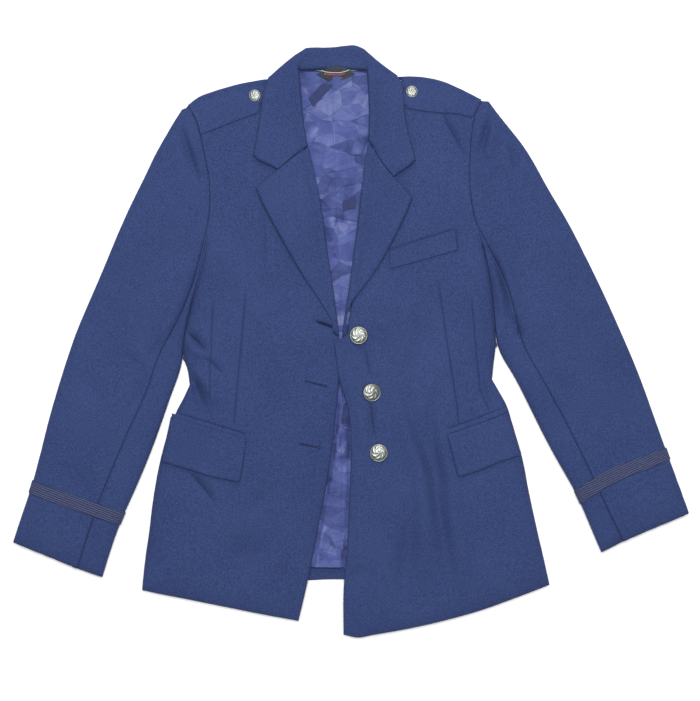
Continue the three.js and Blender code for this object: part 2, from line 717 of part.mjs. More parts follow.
// ---- Sleeves ---------------------------------------------------------------------------------
// A wall from sections: each section has as many points on its outer face as on its inner face.
// A ring closes on itself; any other wall has an edge at each end of its sections.
function sectionWall(sections, ring = false) {
  const count = sections[0].outer.length;
  const position = [];
  for (const { outer, inner } of sections) {
    for (const p of [...outer, ...inner]) position.push(p.x, p.y, p.z);
  }
  const index = [];
  const quad = (a, b, c, d) => index.push(a, b, c, a, c, d);
  const at = (s, i) => s * 2 * count + i;
  const spans = ring ? count : count - 1;
  for (let s = 0; s + 1 < sections.length; s += 1) {
    for (let i = 0; i < spans; i += 1) {
      const j = (i + 1) % count;
      quad(at(s, i), at(s + 1, i), at(s + 1, j), at(s, j));
      quad(at(s, count + i), at(s, count + j), at(s + 1, count + j), at(s + 1, count + i));
    }
    if (!ring) {
      quad(at(s, 0), at(s, count), at(s + 1, count), at(s + 1, 0));
      const e = count - 1;
      quad(at(s, e), at(s + 1, e), at(s + 1, count + e), at(s, count + e));
    }
  }
  for (let i = 0; i < spans; i += 1) {
    const j = (i + 1) % count;
    const last = sections.length - 1;
    quad(at(0, i), at(0, j), at(0, count + j), at(0, count + i));
    quad(at(last, i), at(last, count + i), at(last, count + j), at(last, j));
  }
  return geometryOf(position, index);
}

// Turns the faces round when a wall has come out inside out.
function facingOut(geometry) {
  const p = geometry.attributes.position;
  const index = geometry.index.array;
  const [a, b, c] = [new THREE.Vector3(), new THREE.Vector3(), new THREE.Vector3()];
  let volume = 0;
  for (let i = 0; i < index.length; i += 3) {
    a.fromBufferAttribute(p, index[i]);
    b.fromBufferAttribute(p, index[i + 1]);
    c.fromBufferAttribute(p, index[i + 2]);
    volume += a.dot(b.cross(c));
  }
  if (volume > 0) return geometry;
  for (let i = 0; i < index.length; i += 3) {
    [index[i + 1], index[i + 2]] = [index[i + 2], index[i + 1]];
  }
  geometry.computeVertexNormals();
  return geometry;
}

// The braid goes under the sleeve too and lifts it there. The lift is whole for a few rows about
// the braid and fades over the rows beyond them.
const BRAID_LIFT = TAPE_WALL + LAY_GAP;
const LIFT_WHOLE = 0.8;
const LIFT_REACH = 2.2;
function liftAt(hand, row) {
  const middle = (braidRows[hand].out + braidRows[hand].inn + BRAID_WIDTH_ROWS) / 2;
  const away = Math.max(0, Math.abs(row - middle) - LIFT_WHOLE);
  return BRAID_LIFT * Math.max(0, 1 - away / LIFT_REACH);
}

const SAME_LINE = 0.5;        // the seam and the inner edge are one line when this near

// One section of a sleeve: how wide it is, where its seam lies, and how its edges round.
function sectionAt(hand, row) {
  const out = rails[hand].out(row);
  const seam = rails[hand].seam(row);
  const inn = rails[hand].inn(row);
  const toSeam = out.distanceTo(seam);
  const width = toSeam + seam.distanceTo(inn);
  return {
    width,
    toSeam,
    lift: liftAt(hand, row),
    turn: Math.min(SLEEVE_TURN, width * TURN_SHARE),
    round: Math.min(SLEEVE_HEIGHT / 2, width * ROUND_SHARE),
    closed: THREE.MathUtils.clamp((row - ARMPIT_ROW) / ROWS_PER_STATION, 0, 1),
    place(across, z) {
      const t = across / toSeam;
      const plan = across <= toSeam || width - toSeam < SAME_LINE
        ? out.clone().lerp(seam, t)
        : seam.clone().lerp(inn, (across - toSeam) / (width - toSeam));
      return new THREE.Vector3(plan.x, plan.y, z + this.lift);
    },
  };
}

// A point on the half round at an edge: angle -90 below, 0 at the edge, 90 above.
function onRound(section, edge, angle, depth) {
  const half = SLEEVE_HEIGHT / 2;
  const a = THREE.MathUtils.degToRad(angle);
  const reach = section.round - (section.round - depth) * Math.cos(a);
  const z = half + (half - depth) * Math.sin(a);
  return [edge === "out" ? reach : section.width - reach, z];
}

const ROUND_ANGLES = [-90, -45, 0, 45, 90];
const GAP = SEAM_GAP / 2;
const SEAM_EASE = 0.15;       // a little more room along the front seam below the armpit
const LEAST_FLAT = 0.6;       // least flat cloth between the front seam and the inner round
const TOP_SHARES = [0.4, 0.75, 1];
const UNDER_SHARES = [0, 0.35, 0.7];
const BRAID_SHARES = [0.33, 0.66];

function topsleeveSection(hand, row) {
  const s = sectionAt(hand, row);
  const skin = (depth) => {
    const path = [[s.turn - GAP, depth]];
    for (const a of ROUND_ANGLES) path.push(onRound(s, "out", a, depth));
    const from = path[path.length - 1][0];
    const to = s.toSeam - GAP - (row < ARMPIT_ROW ? 0 : SEAM_EASE);
    for (const share of TOP_SHARES) {
      path.push([from + (to - from) * share, SLEEVE_HEIGHT - depth]);
    }
    return path.map(([across, z]) => s.place(across, z));
  };
  return { outer: skin(0), inner: skin(SLEEVE_WALL) };
}

function undersleeveSection(hand, row) {
  const s = sectionAt(hand, row);
  const skin = (depth) => {
    const flatEnd = s.width - GAP;
    const from = s.turn + GAP;
    const roundFrom = s.width - s.round - GAP;
    const path = UNDER_SHARES.map((share) => [from + (roundFrom - from) * share, depth]);
    ROUND_ANGLES.forEach((a, i) => {
      const [across, z] = onRound(s, "inn", a, depth);
      const plain = roundFrom + ((flatEnd - roundFrom) * i) / ROUND_ANGLES.length;
      path.push([
        THREE.MathUtils.lerp(plain, across - GAP, s.closed),
        THREE.MathUtils.lerp(depth, z, s.closed),
      ]);
    });
    const seamEnd = Math.min(s.toSeam + GAP + SEAM_EASE, s.width - s.round - LEAST_FLAT);
    path.push([
      THREE.MathUtils.lerp(flatEnd, seamEnd, s.closed),
      THREE.MathUtils.lerp(depth, SLEEVE_HEIGHT - depth, s.closed),
    ]);
    return path.map(([across, z]) => s.place(across, z));
  };
  return { outer: skin(0), inner: skin(SLEEVE_WALL) };
}

// Braid: a ribbon round the whole sleeve, a little clear of its cloth.
function braidSection(hand, share) {
  const rows = braidRows[hand];
  const skin = (stand) => {
    const middle = sectionAt(hand, (rows.out + rows.inn) / 2);
    const path = [];
    for (const a of ROUND_ANGLES) path.push(onRound(middle, "out", a, -stand));
    for (const part of BRAID_SHARES) path.push([middle.width * part, SLEEVE_HEIGHT + stand]);
    for (const a of [...ROUND_ANGLES].reverse()) path.push(onRound(middle, "inn", a, -stand));
    for (const part of [...BRAID_SHARES].reverse()) path.push([middle.width * part, -stand]);
    return path.map(([across, z]) => {
      const at = across / middle.width;
      const row = THREE.MathUtils.lerp(rows.out, rows.inn, at) + BRAID_WIDTH_ROWS * share;
      const s = sectionAt(hand, row);
      s.lift = BRAID_LIFT;
      return s.place(across + (s.width - middle.width) * at, z);
    });
  };
  return { outer: skin(LAY_GAP + BRAID_WALL), inner: skin(LAY_GAP) };
}

for (const hand of SIDES) {
  const top = stations.map((row) => topsleeveSection(hand, row));
  add(`topsleeve_${hand}`, facingOut(sectionWall(top)), "serge");
  const under = stations.map((row) => undersleeveSection(hand, row));
  add(`undersleeve_${hand}`, facingOut(sectionWall(under)), "serge");
  const braid = [0, 0.5, 1].map((share) => braidSection(hand, share));
  add(`cuff_braid_${hand}`, facingOut(sectionWall(braid, true)), "braid");
}

// ---- Buttons ---------------------------------------------------------------------------------
// A domed face with a raised rim over a flat back, in shares of the diameter.
const buttonProfile = [
  { across: 0, up: 0 }, { across: 0.3, up: 0 }, { across: 0.46, up: 0.04 },
  { across: 0.5, up: 0.09 }, { across: 0.48, up: 0.13 }, { across: 0.44, up: 0.135 },
  { across: 0.4, up: 0.125 }, { across: 0.22, up: 0.175 }, { across: 0, up: 0.195 },
];
const BUTTON_SIDES = 28;
const BUTTON_REACH = 0.52;    // share of the diameter within which the cloth carries a button

function button(name, [x, y], diameter, on, tilt = [0, 0]) {
  const profile = buttonProfile.map(({ across, up }) => (
    new THREE.Vector2(across * diameter, up * diameter)
  ));
  const geometry = new THREE.LatheGeometry(profile, BUTTON_SIDES);
  geometry.rotateX(Math.PI / 2);
  const lean = Math.hypot(...tilt);
  const mesh = add(name, facingOut(geometry), "button");
  mesh.rotation.set(tilt[0], tilt[1], 0);
  const ground = groundUnder(on, new THREE.Vector2(x, y), diameter * BUTTON_REACH);
  const heel = buttonProfile[1].across * diameter * Math.sin(lean);
  mesh.position.set(x, y, ground + LAY_GAP + heel);
}

const frontButtons = [
  { at: [9, 8], tilt: [0, 0] },
  { at: [25, -63], tilt: [0.05, 0.16] },
  { at: [34, -138], tilt: [0, 0] },
];
frontButtons.forEach(({ at, tilt }, i) => {
  button(`button_front_${i + 1}`, at, FRONT_BUTTON, [laidFront.left], tilt);
});
button("button_shoulder_right", [-120, 306], SHOULDER_BUTTON, [laidStrap.right]);
button("button_shoulder_left", [75, 311], SHOULDER_BUTTON, [laidStrap.left]);

// ---- Trimming a piece where a neighbour's edge comes too near ---------------------------------
const trims = [
  { piece: "back_lining_left", near: ["back_lining_right"] },
  { piece: "neck_label", near: ["back_lining_left", "back_lining_right"] },
  { piece: "undersleeve_right", near: ["back_right", "topsleeve_right", "front_right"] },
  { piece: "undersleeve_left", near: ["back_left", "topsleeve_left", "front_left"] },
  { piece: "topsleeve_right", near: ["front_right"] },
  { piece: "shoulder_strap_right", near: ["front_right"] },
  { piece: "shoulder_strap_left", near: ["front_left"] },
  { piece: "lapel_right", near: ["front_right"] },
  { piece: "lapel_left", near: ["front_left", "back_lining_left"] },
  { piece: "collar", near: ["back_right", "back_left", "front_right", "front_left",
    "back_lining_right", "back_lining_left"] },
];
const DIRECTIONS = [[1, 0, 0], [-1, 0, 0], [0, 1, 0], [0, -1, 0], [0, 0, 1], [0, 0, -1]];

for (const { piece, near } of trims) {
  const mesh = tunic.getObjectByName(piece);
  let solid = solidOf(mesh.geometry);
  for (const name of near) {
    const other = solidOf(tunic.getObjectByName(name).geometry);
    for (const way of DIRECTIONS) {
      solid = solid.subtract(other.translate(way.map((v) => v * LAY_GAP)));
    }
  }
  const [largest] = solid.decompose().sort((a, b) => b.volume() - a.volume());
  mesh.geometry = geometryFromSolid(largest);
}

// ---- The origin is the middle of the underside ------------------------------------------------
const box = new THREE.Box3().setFromObject(tunic);
const middle = box.getCenter(new THREE.Vector3());
tunic.position.set(-middle.x, -middle.y, -box.min.z);
const group = new THREE.Group();
group.add(tunic);
export default group;
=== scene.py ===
# %% [markdown]
# # A military dress tunic, laid flat
# This lesson dresses a tunic whose pieces are already cut and placed as plain solids. Every piece of
# cloth below is a thin shell that is made on its own solid, so nothing has to be fitted by eye.

# %% Load the frame
import math
import random

import bmesh
import bpy
import numpy as np
from mathutils import Matrix, Vector
from mathutils.bvhtree import BVHTree
from mathutils.geometry import delaunay_2d_cdt
from mathutils.kdtree import KDTree


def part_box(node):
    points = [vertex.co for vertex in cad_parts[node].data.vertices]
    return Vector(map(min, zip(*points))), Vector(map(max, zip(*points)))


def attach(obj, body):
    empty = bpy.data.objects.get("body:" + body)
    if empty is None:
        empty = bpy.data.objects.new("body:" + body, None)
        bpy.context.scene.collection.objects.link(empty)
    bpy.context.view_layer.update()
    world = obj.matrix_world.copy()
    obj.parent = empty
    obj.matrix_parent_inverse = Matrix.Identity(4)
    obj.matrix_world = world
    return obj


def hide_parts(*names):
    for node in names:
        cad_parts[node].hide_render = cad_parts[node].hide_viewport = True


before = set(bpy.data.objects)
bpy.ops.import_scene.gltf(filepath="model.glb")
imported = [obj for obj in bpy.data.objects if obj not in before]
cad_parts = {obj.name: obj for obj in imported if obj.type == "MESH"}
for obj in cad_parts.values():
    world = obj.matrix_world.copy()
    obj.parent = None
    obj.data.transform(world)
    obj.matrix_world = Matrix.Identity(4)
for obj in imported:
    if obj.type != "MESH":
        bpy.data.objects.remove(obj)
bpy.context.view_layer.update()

MM = 0.001

# %% [markdown]
# ## Finishes
# Colours are written as the sRGB hex values that a dyer's chart would give, and one function turns
# them into the linear values that the shader works in. One helper adds a node with its settings and
# its links, so each finish below reads as a short recipe.

# %% Colour and node helpers
def linear(hex_colour):
    """sRGB hex to linear RGBA."""
    parts = [int(hex_colour[i:i + 2], 16) / 255 for i in (1, 3, 5)]
    rgb = [p / 12.92 if p <= 0.04045 else ((p + 0.055) / 1.055) ** 2.4 for p in parts]
    return (*rgb, 1.0)


def feed(tree, node, inputs):
    """Each input gets a value or another node's output socket."""
    for name, value in inputs.items():
        if isinstance(value, bpy.types.NodeSocket):
            tree.links.new(value, node.inputs[name])
        else:
            node.inputs[name].default_value = value


def add(tree, kind, inputs, **settings):
    """A node of that kind with its settings and its inputs."""
    node = tree.nodes.new(kind)
    for name, value in settings.items():
        setattr(node, name, value)
    feed(tree, node, inputs)
    return node


def new_finish(name):
    """An empty material with its shader, and coordinates in metres."""
    material = bpy.data.materials.new(name)
    material.use_nodes = True
    tree = material.node_tree
    shader = tree.nodes["Principled BSDF"]
    place = add(tree, "ShaderNodeTexCoord", {}).outputs["Object"]
    return material, tree, shader, place


def bands_per_metre(spacing_mm):
    """The wave texture's scale for bands that far apart: it draws 20 / (2 pi) bands a unit."""
    return 2 * math.pi / (20 * spacing_mm * MM)


def grains(size_mm):
    """The noise texture's scale for grains of about that size."""
    return 1 / (size_mm * MM)


def noise(tree, place, size_mm, **inputs):
    return add(tree, "ShaderNodeTexNoise", {"Vector": place, "Scale": grains(size_mm), **inputs})


def blend(tree, share, first, second):
    """The first number, mixed with that share of the second."""
    mixed = add(tree, "ShaderNodeMix", {0: share, 2: first, 3: second}, data_type="FLOAT")
    return mixed.outputs[0]


def ramp(tree, value, low, dark, high, light):
    """A colour that runs from dark to light as the value runs from low to high."""
    node = add(tree, "ShaderNodeValToRGB", {"Fac": value})
    for element, position, colour in zip(node.color_ramp.elements, (low, high), (dark, light)):
        element.position = position
        element.color = linear(colour)
    return node.outputs["Color"]


def vectors(tree, operation, first, second):
    return add(tree, "ShaderNodeVectorMath", {0: first, 1: second}, operation=operation).outputs


# %% [markdown]
# ### Wool serge
# Serge is a worsted twill: fine diagonal ribs, a matt face with a slight halo of fibre, and yarn
# spun from wool dyed in several near shades, which gives a heathered grain. The real ribs are
# 0.6 mm apart, too fine to show from this far, so they are drawn 1.5 mm apart.

# %% Wool serge
SERGE_RIB = 1.5
HEATHER = 1.35
CLOUD = 70


def wool_serge(name, dark, light, rib=SERGE_RIB, turn=62, shown=0.0):
    """Ribbed yarn cloth: rib spacing in mm, the ribs' turn and how far their colour shows."""
    material, tree, shader, place = new_finish(name)
    turned = add(tree, "ShaderNodeMapping", {"Vector": place, "Rotation": (0, 0, math.radians(turn))})
    ribs = add(tree, "ShaderNodeTexWave", {
        "Vector": turned.outputs["Vector"], "Scale": bands_per_metre(rib),
        "Distortion": 1.6, "Detail": 2.0, "Detail Scale": 3.0,
    }, wave_type="BANDS")
    heather = noise(tree, place, HEATHER, Detail=3.0, Roughness=0.65).outputs["Fac"]
    cloudy = noise(tree, place, CLOUD, Detail=2.0).outputs["Fac"]
    ribbed = blend(tree, shown, blend(tree, 0.12, heather, cloudy), ribs.outputs["Fac"])
    height = add(tree, "ShaderNodeMath", {0: ribs.outputs["Fac"], 1: heather}, operation="ADD")
    bump = add(tree, "ShaderNodeBump", {
        "Height": height.outputs[0], "Strength": 0.5, "Distance": 0.35 * MM,
    })
    feed(tree, shader, {
        "Base Color": ramp(tree, ribbed, 0.36, dark, 0.66, light),
        "Normal": bump.outputs["Normal"], "Roughness": 0.9, "IOR": 1.5,
        "Specular IOR Level": 0.25, "Sheen Weight": 0.05, "Sheen Roughness": 0.5,
        "Sheen Tint": linear("#8a97c8"),
    })
    return material


serge = wool_serge("wool_serge", "#222e5a", "#394a77")
braid_cloth = {
    "right": wool_serge("ribbed_braid_right", "#272d4a", "#4b5171", rib=2.6, turn=-69, shown=0.45),
    "left": wool_serge("ribbed_braid_left", "#272d4a", "#4b5171", rib=2.6, turn=-116, shown=0.45),
}
tape_cloth = wool_serge("woven_tape", "#2c3358", "#3a416b", rib=1.0)
label_cloth = wool_serge("damask_label", "#303338", "#44474d", rib=0.9)
thread = wool_serge("silk_twist", "#161b38", "#252c50", rib=0.7)
off_white = wool_serge("off_white_yarn", "#b4b0a8", "#d2cfc8", rib=0.7)
dull_red = wool_serge("dull_red_yarn", "#7d3c48", "#984f5c", rib=0.7)
print("woollen finishes:", serge.name, *[m.name for m in braid_cloth.values()])

# %% [markdown]
# ### Acetate satin
# The lining is satin: long floats of smooth yarn give it a soft gloss that runs light and dark over
# every crumple. Its weave is far too fine to see, so only the gloss and a slight slub are drawn. Two
# sizes of flat facets, each tilted its own way, add the small creases that a folded lining keeps,
# and broken dark lines of painted crease shade are drawn along some of their edges.

# %% Acetate satin
SLUB, SATIN_CLOUD, WANDER = 3, 26, 30
CREASE_SPACING = (62, 27)
CREASE_TILT = (0.8, 0.36)
# How dark the painted shade along the facet edges is, for the coarse and the fine sheet.
CREASE_PAINTED_SHADE = (0.55, 0.22)
CREASE_SHADE_WIDTH = 2.4


def acetate_satin():
    material, tree, shader, place = new_finish("acetate_satin")
    slub = noise(tree, place, SLUB, Detail=4.0).outputs["Fac"]
    cloudy = noise(tree, place, SATIN_CLOUD, Detail=3.0).outputs["Fac"]
    wander = noise(tree, place, WANDER).outputs
    push = vectors(tree, "MULTIPLY", wander["Color"], (0.005, 0.005, 0.005))[0]
    slanted = add(tree, "ShaderNodeMapping", {
        "Vector": vectors(tree, "ADD", place, push)[0],
        "Rotation": (0, 0, math.radians(24)), "Scale": (1, 1.7, 1),
    }).outputs["Vector"]
    colour = ramp(tree, blend(tree, 0.6, slub, cloudy), 0.3, "#3f4a82", 0.7, "#55619b")
    normal = add(tree, "ShaderNodeBump", {
        "Height": slub, "Strength": 0.2, "Distance": 0.2 * MM,
    }).outputs["Normal"]
    crease_shade_patches = add(tree, "ShaderNodeMapRange", {
        "Value": wander["Fac"], "From Min": 0.47, "From Max": 0.62,
    })
    # pressed is how dark each sheet's painted crease shade is, not a pressed mark.
    for spacing, tilt, pressed in zip(CREASE_SPACING, CREASE_TILT, CREASE_PAINTED_SHADE):
        cells = {"Vector": slanted, "Scale": grains(spacing)}
        facet = add(tree, "ShaderNodeTexVoronoi", cells).outputs
        lean = vectors(tree, "SUBTRACT", facet["Color"], (0.5, 0.5, 0.5))[0]
        offset = vectors(tree, "SUBTRACT", slanted, facet["Position"])[0]
        normal = add(tree, "ShaderNodeBump", {
            "Height": vectors(tree, "DOT_PRODUCT", lean, offset)["Value"], "Normal": normal,
            "Strength": 1.0, "Distance": tilt,
        }).outputs["Normal"]
        # Painted shade: a thin line along each facet edge is mixed towards #20284f and broken into
        # patches.
        edge = add(tree, "ShaderNodeTexVoronoi", cells, feature="DISTANCE_TO_EDGE")
        line = add(tree, "ShaderNodeMapRange", {
            "Value": edge.outputs["Distance"], "From Max": CREASE_SHADE_WIDTH / spacing,
            "To Min": pressed, "To Max": 0.0,
        })
        broken_painted_shade = add(tree, "ShaderNodeMath", {
            0: line.outputs["Result"], 1: crease_shade_patches.outputs["Result"],
        }, operation="MULTIPLY")
        colour = add(tree, "ShaderNodeMix", {
            0: broken_painted_shade.outputs[0], 6: colour, 7: linear("#20284f"),
        }, data_type="RGBA").outputs[2]
    feed(tree, shader, {
        "Base Color": colour, "Normal": normal, "Roughness": 0.45, "IOR": 1.48,
        "Specular IOR Level": 0.3, "Sheen Weight": 0.05, "Sheen Tint": linear("#c3c8ea"),
    })
    return material


satin = acetate_satin()
print("lining finish:", satin.name)

# %% [markdown]
# ### Worn nickel
# The buttons are stamped brass with nickel plate. Handling keeps the high places bright and leaves
# dirt and tarnish in the hollows, so the colour and the roughness both follow the stamped relief,
# which each button mesh stores as a number at every point.

# %% Worn nickel
STAIN = 2.2


def worn_nickel():
    material, tree, shader, place = new_finish("worn_nickel")
    relief = add(tree, "ShaderNodeAttribute", {}, attribute_name="relief")
    stains = noise(tree, place, STAIN, Detail=5.0)
    mixed = blend(tree, 0.3, relief.outputs["Fac"], stains.outputs["Fac"])
    rough = add(tree, "ShaderNodeMapRange", {"Value": mixed, "To Min": 0.55, "To Max": 0.3})
    feed(tree, shader, {
        "Base Color": ramp(tree, mixed, 0.14, "#5c6059", 0.6, "#8b8f8b"),
        "Roughness": rough.outputs["Result"], "Metallic": 1.0,
    })
    return material


nickel = worn_nickel()
print("button finish:", nickel.name)

# %% [markdown]
# ## From a solid to its outline
# Seen from above, a laid-out garment is a set of flat shapes. The first helper finds the part of a
# solid that can be seen from above and walks round its rim. The second draws a smooth line through
# the rim's points and keeps its real corners.

# %% Outlines
FACES_UP = 0.02
CLEAR_OF_FACE = 2e-5
SAME_PLACE = 0.03 * MM
RIM_STEP = 2.8 * MM
CORNER = math.radians(24)


def solid_arrays(name):
    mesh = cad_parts[name].data
    points = np.array([v.co[:] for v in mesh.vertices])
    faces = np.array([p.vertices[:] for p in mesh.polygons])
    return points, faces


def seen_from_above(name):
    """The solid's points and those of its faces that it doesn't cover itself."""
    points, faces = solid_arrays(name)
    tree = BVHTree.FromPolygons(points.tolist(), faces.tolist())
    corners = points[faces]
    normals = np.cross(corners[:, 1] - corners[:, 0], corners[:, 2] - corners[:, 0])
    middles = corners.mean(axis=1)
    up = Vector((0, 0, 1))
    keep = [
        i for i in range(len(faces))
        if normals[i, 2] > FACES_UP * np.linalg.norm(normals[i])
        and tree.ray_cast(Vector(middles[i]) + up * CLEAR_OF_FACE, up)[0] is None
    ]
    return points, faces[keep]


def rim_of(points, faces):
    """The longest loop round those faces, as plan points, counter-clockwise."""
    keys = {}
    ids = []
    for x, y, _ in points:
        ids.append(keys.setdefault((round(x / SAME_PLACE), round(y / SAME_PLACE)), len(keys)))
    plan = np.zeros((len(keys), 2))
    for i, key in enumerate(ids):
        plan[key] = points[i, :2]
    edges = set()
    for a, b, c in faces:
        for pair in ((a, b), (b, c), (c, a)):
            pair = (ids[pair[0]], ids[pair[1]])
            if pair[0] != pair[1]:
                edges.add(pair)
    follow = {}
    for a, b in sorted(edges):
        if (b, a) not in edges:
            follow.setdefault(a, []).append(b)
    best, best_area = None, 0
    while any(follow.values()):
        start = here = next(a for a in follow if follow[a])
        loop = []
        while follow.get(here):
            loop.append(here)
            here = follow[here].pop()
            if here in loop:
                loop = loop[loop.index(here):]
                break
        ring = plan[loop]
        x, y = ring.T
        size = 0.5 * np.sum(x * np.roll(y, -1) - np.roll(x, -1) * y)
        if abs(size) > abs(best_area):
            best, best_area = ring, size
    return best if best_area > 0 else best[::-1]


def smoothed(ring, step):
    """A rim with a point every step, curved between its corners."""
    n = len(ring)
    turn = []
    for i in range(n):
        before = ring[i] - ring[i - 1]
        after = ring[(i + 1) % n] - ring[i]
        cosine = before @ after / (np.linalg.norm(before) * np.linalg.norm(after))
        turn.append(math.acos(max(-1, min(1, cosine))))
    out = []
    for i in range(n):
        p1, p2 = ring[i], ring[(i + 1) % n]
        p0 = 2 * p1 - p2 if turn[i] > CORNER else ring[i - 1]
        p3 = 2 * p2 - p1 if turn[(i + 1) % n] > CORNER else ring[(i + 2) % n]
        count = max(1, round(np.linalg.norm(p2 - p1) / step))
        knots = [0.0]
        for a, b in ((p0, p1), (p1, p2), (p2, p3)):
            knots.append(knots[-1] + max(1e-6, np.linalg.norm(b - a)) ** 0.5)
        t0, t1, t2, t3 = knots
        for k in range(count):
            t = t1 + (t2 - t1) * k / count
            a1 = (t1 - t) / (t1 - t0) * p0 + (t - t0) / (t1 - t0) * p1
            a2 = (t2 - t) / (t2 - t1) * p1 + (t - t1) / (t2 - t1) * p2
            a3 = (t3 - t) / (t3 - t2) * p2 + (t - t2) / (t3 - t2) * p3
            b1 = (t2 - t) / (t2 - t0) * a1 + (t - t0) / (t2 - t0) * a2
            b2 = (t3 - t) / (t3 - t1) * a2 + (t - t1) / (t3 - t1) * a3
            out.append((t2 - t) / (t2 - t1) * b1 + (t - t1) / (t2 - t1) * b2)
    return np.array(out)


# %% Plan distances
LINE_STEP = 0.8 * MM


def line_points(line, step):
    """Points strung that closely along an open line, without its last one."""
    dense = []
    for a, b in zip(line[:-1], line[1:]):
        count = max(1, int(np.linalg.norm(b - a) / step))
        dense += [a + (b - a) * k / count for k in range(count)]
    return np.array(dense)


def points_tree(points):
    tree = KDTree(len(points))
    for i, (x, y) in enumerate(points):
        tree.insert((x, y, 0), i)
    tree.balance()
    return tree


def line_tree(line):
    """A search tree over points strung closely along an open line."""
    return points_tree(np.vstack([line_points(line, LINE_STEP), line[-1:]]))


def closed(ring):
    return np.vstack([ring, ring[:1]])


def distance_in(tree, plan):
    return np.array([tree.find((x, y, 0))[2] for x, y in plan])


def inside(ring, plan):
    """Which plan points lie inside the ring."""
    x, y = plan[:, 0], plan[:, 1]
    within = np.zeros(len(plan), bool)
    for (x1, y1), (x2, y2) in zip(ring, np.roll(ring, -1, axis=0)):
        if y1 == y2:
            continue
        crosses = ((y1 > y) != (y2 > y)) & (x < (x2 - x1) * (y - y1) / (y2 - y1) + x1)
        within ^= crosses
    return within


# %% [markdown]
# ## Folds
# Cloth that has been worn and laid down keeps soft ridges and troughs. Each row of a table is one of
# them: the line that it follows, in millimetres, its half width and its height, which is negative
# for a trough. It fades out towards both ends, and a narrow trough has a sharp crease in its middle.

# %% Folds
FOLDS = {
    "body": [
        ([(-212, 18), (-196, 4), (-176, -14)], 6, -4.4),
        ([(-207, -2), (-190, -12), (-172, -28)], 8, 2.6),
        ([(-188, -16), (-172, -28), (-158, -42)], 6, -2.4),
        ([(-206, -40), (-192, -62), (-184, -88)], 7, -4.4),
        ([(-196, -30), (-178, -52), (-168, -80)], 10, 2.4),
        ([(-146, 140), (-137, 112), (-128, 84)], 10, -1.5),
        ([(-158, 120), (-150, 92), (-146, 60)], 12, 1.2),
        ([(-110, 168), (-107, 120), (-108, 84)], 6, -1.3),
        ([(-118, 92), (-100, 60), (-96, 20)], 12, -1.3),
        ([(-205, -158), (-184, -182), (-168, -204)], 5, -2.4),
        ([(-196, -152), (-172, -176), (-156, -200)], 8, 1.6),
        ([(-84, -172), (-104, -194), (-140, -214)], 10, -1.5),
        ([(-160, -258), (-130, -266), (-96, -262)], 14, -1.2),
        ([(-150, -228), (-120, -240), (-90, -236)], 14, 1.0),
        ([(113, 300), (119, 272), (132, 250), (146, 224)], 6, -2.4),
        ([(122, 300), (130, 270), (142, 248)], 9, 1.5),
        ([(66, -44), (76, -92), (92, -132), (104, -170), (112, -226), (124, -300),
                   (134, -326)], 8, -3.6),
        ([(56, -60), (68, -110), (84, -160), (90, -220), (92, -300)], 11, 2.8),
        ([(108, -54), (98, -96), (102, -130), (112, -168), (120, -206)], 7, -2.8),
        ([(118, -130), (124, -180), (132, -230), (146, -300)], 12, 2.2),
        ([(80, -186), (76, -224), (70, -270), (62, -322)], 10, -2.4),
        ([(52, -190), (46, -240), (40, -300), (34, -350)], 13, 1.6),
        ([(16, -4), (22, -34), (26, -50)], 5, -1.8),
        ([(24, -72), (27, -100), (30, -122)], 5, -2.4),
        ([(12, -80), (14, -110), (18, -140)], 7, 1.6),
        ([(92, 70), (88, 30), (94, -20)], 11, -1.5),
        ([(70, 60), (66, 20), (70, -30)], 12, 1.2),
        ([(152, 60), (158, 20), (160, -30)], 9, 1.8),
        ([(168, -44), (176, -70), (190, -84)], 8, -2.6),
        ([(30, -282), (6, -292), (-6, -300)], 10, -1.8),
    ],
    "sleeve_right": [
        ([(-184, 126), (-191, 92), (-203, 56), (-214, 20)], 6, -1.6),
        ([(-212, 268), (-203, 238), (-190, 196)], 5, -4.2),
        ([(-202, 268), (-192, 236), (-184, 204)], 7, 1.8),
        ([(-196, 190), (-206, 150), (-222, 112)], 12, 1.6),
        ([(-208, 66), (-226, 26), (-250, -14)], 9, 2.8),
        ([(-236, 8), (-246, -12), (-252, -30)], 6, -3.0),
        ([(-256, -20), (-262, -60), (-286, -112)], 7, -1.8),
        ([(-286, -12), (-276, -26), (-262, -34)], 8, -1.6),
        ([(-330, -40), (-322, -62), (-304, -78)], 12, -1.4),
        ([(-266, 90), (-284, 40), (-296, -10)], 18, 1.0),
        ([(-352, -150), (-336, -176), (-318, -190)], 12, -1.0),
    ],
    "sleeve_left": [
        ([(170, 124), (180, 92), (187, 58), (190, 24), (188, 4)], 8, -4.6),
        ([(174, 282), (167, 256), (160, 230)], 5, -4.2),
        ([(180, 268), (172, 246), (168, 226)], 7, 2.0),
        ([(198, 246), (205, 226), (206, 204)], 5, -3.2),
        ([(163, 210), (160, 196), (158, 184)], 6, -1.8),
        ([(180, 118), (194, 82), (206, 40)], 8, 3.4),
        ([(198, 34), (206, 18), (214, 4)], 6, -3.8),
        ([(206, 60), (222, 20), (240, -24)], 9, 1.6),
        ([(232, 0), (246, -34), (270, -78)], 10, -1.5),
        ([(280, 60), (300, 10), (322, -40)], 18, 1.0),
        ([(250, 110), (262, 70), (270, 40)], 12, -1.0),
        ([(330, -120), (346, -140), (362, -150)], 10, -1.2),
    ],
}
FOLD_STRENGTH = 2.0
FOLD_FADE = 0.8
BROAD_FOLD = 6.5
CRISP_SHARE = 0.45
CRISP_WIDTH = 0.22


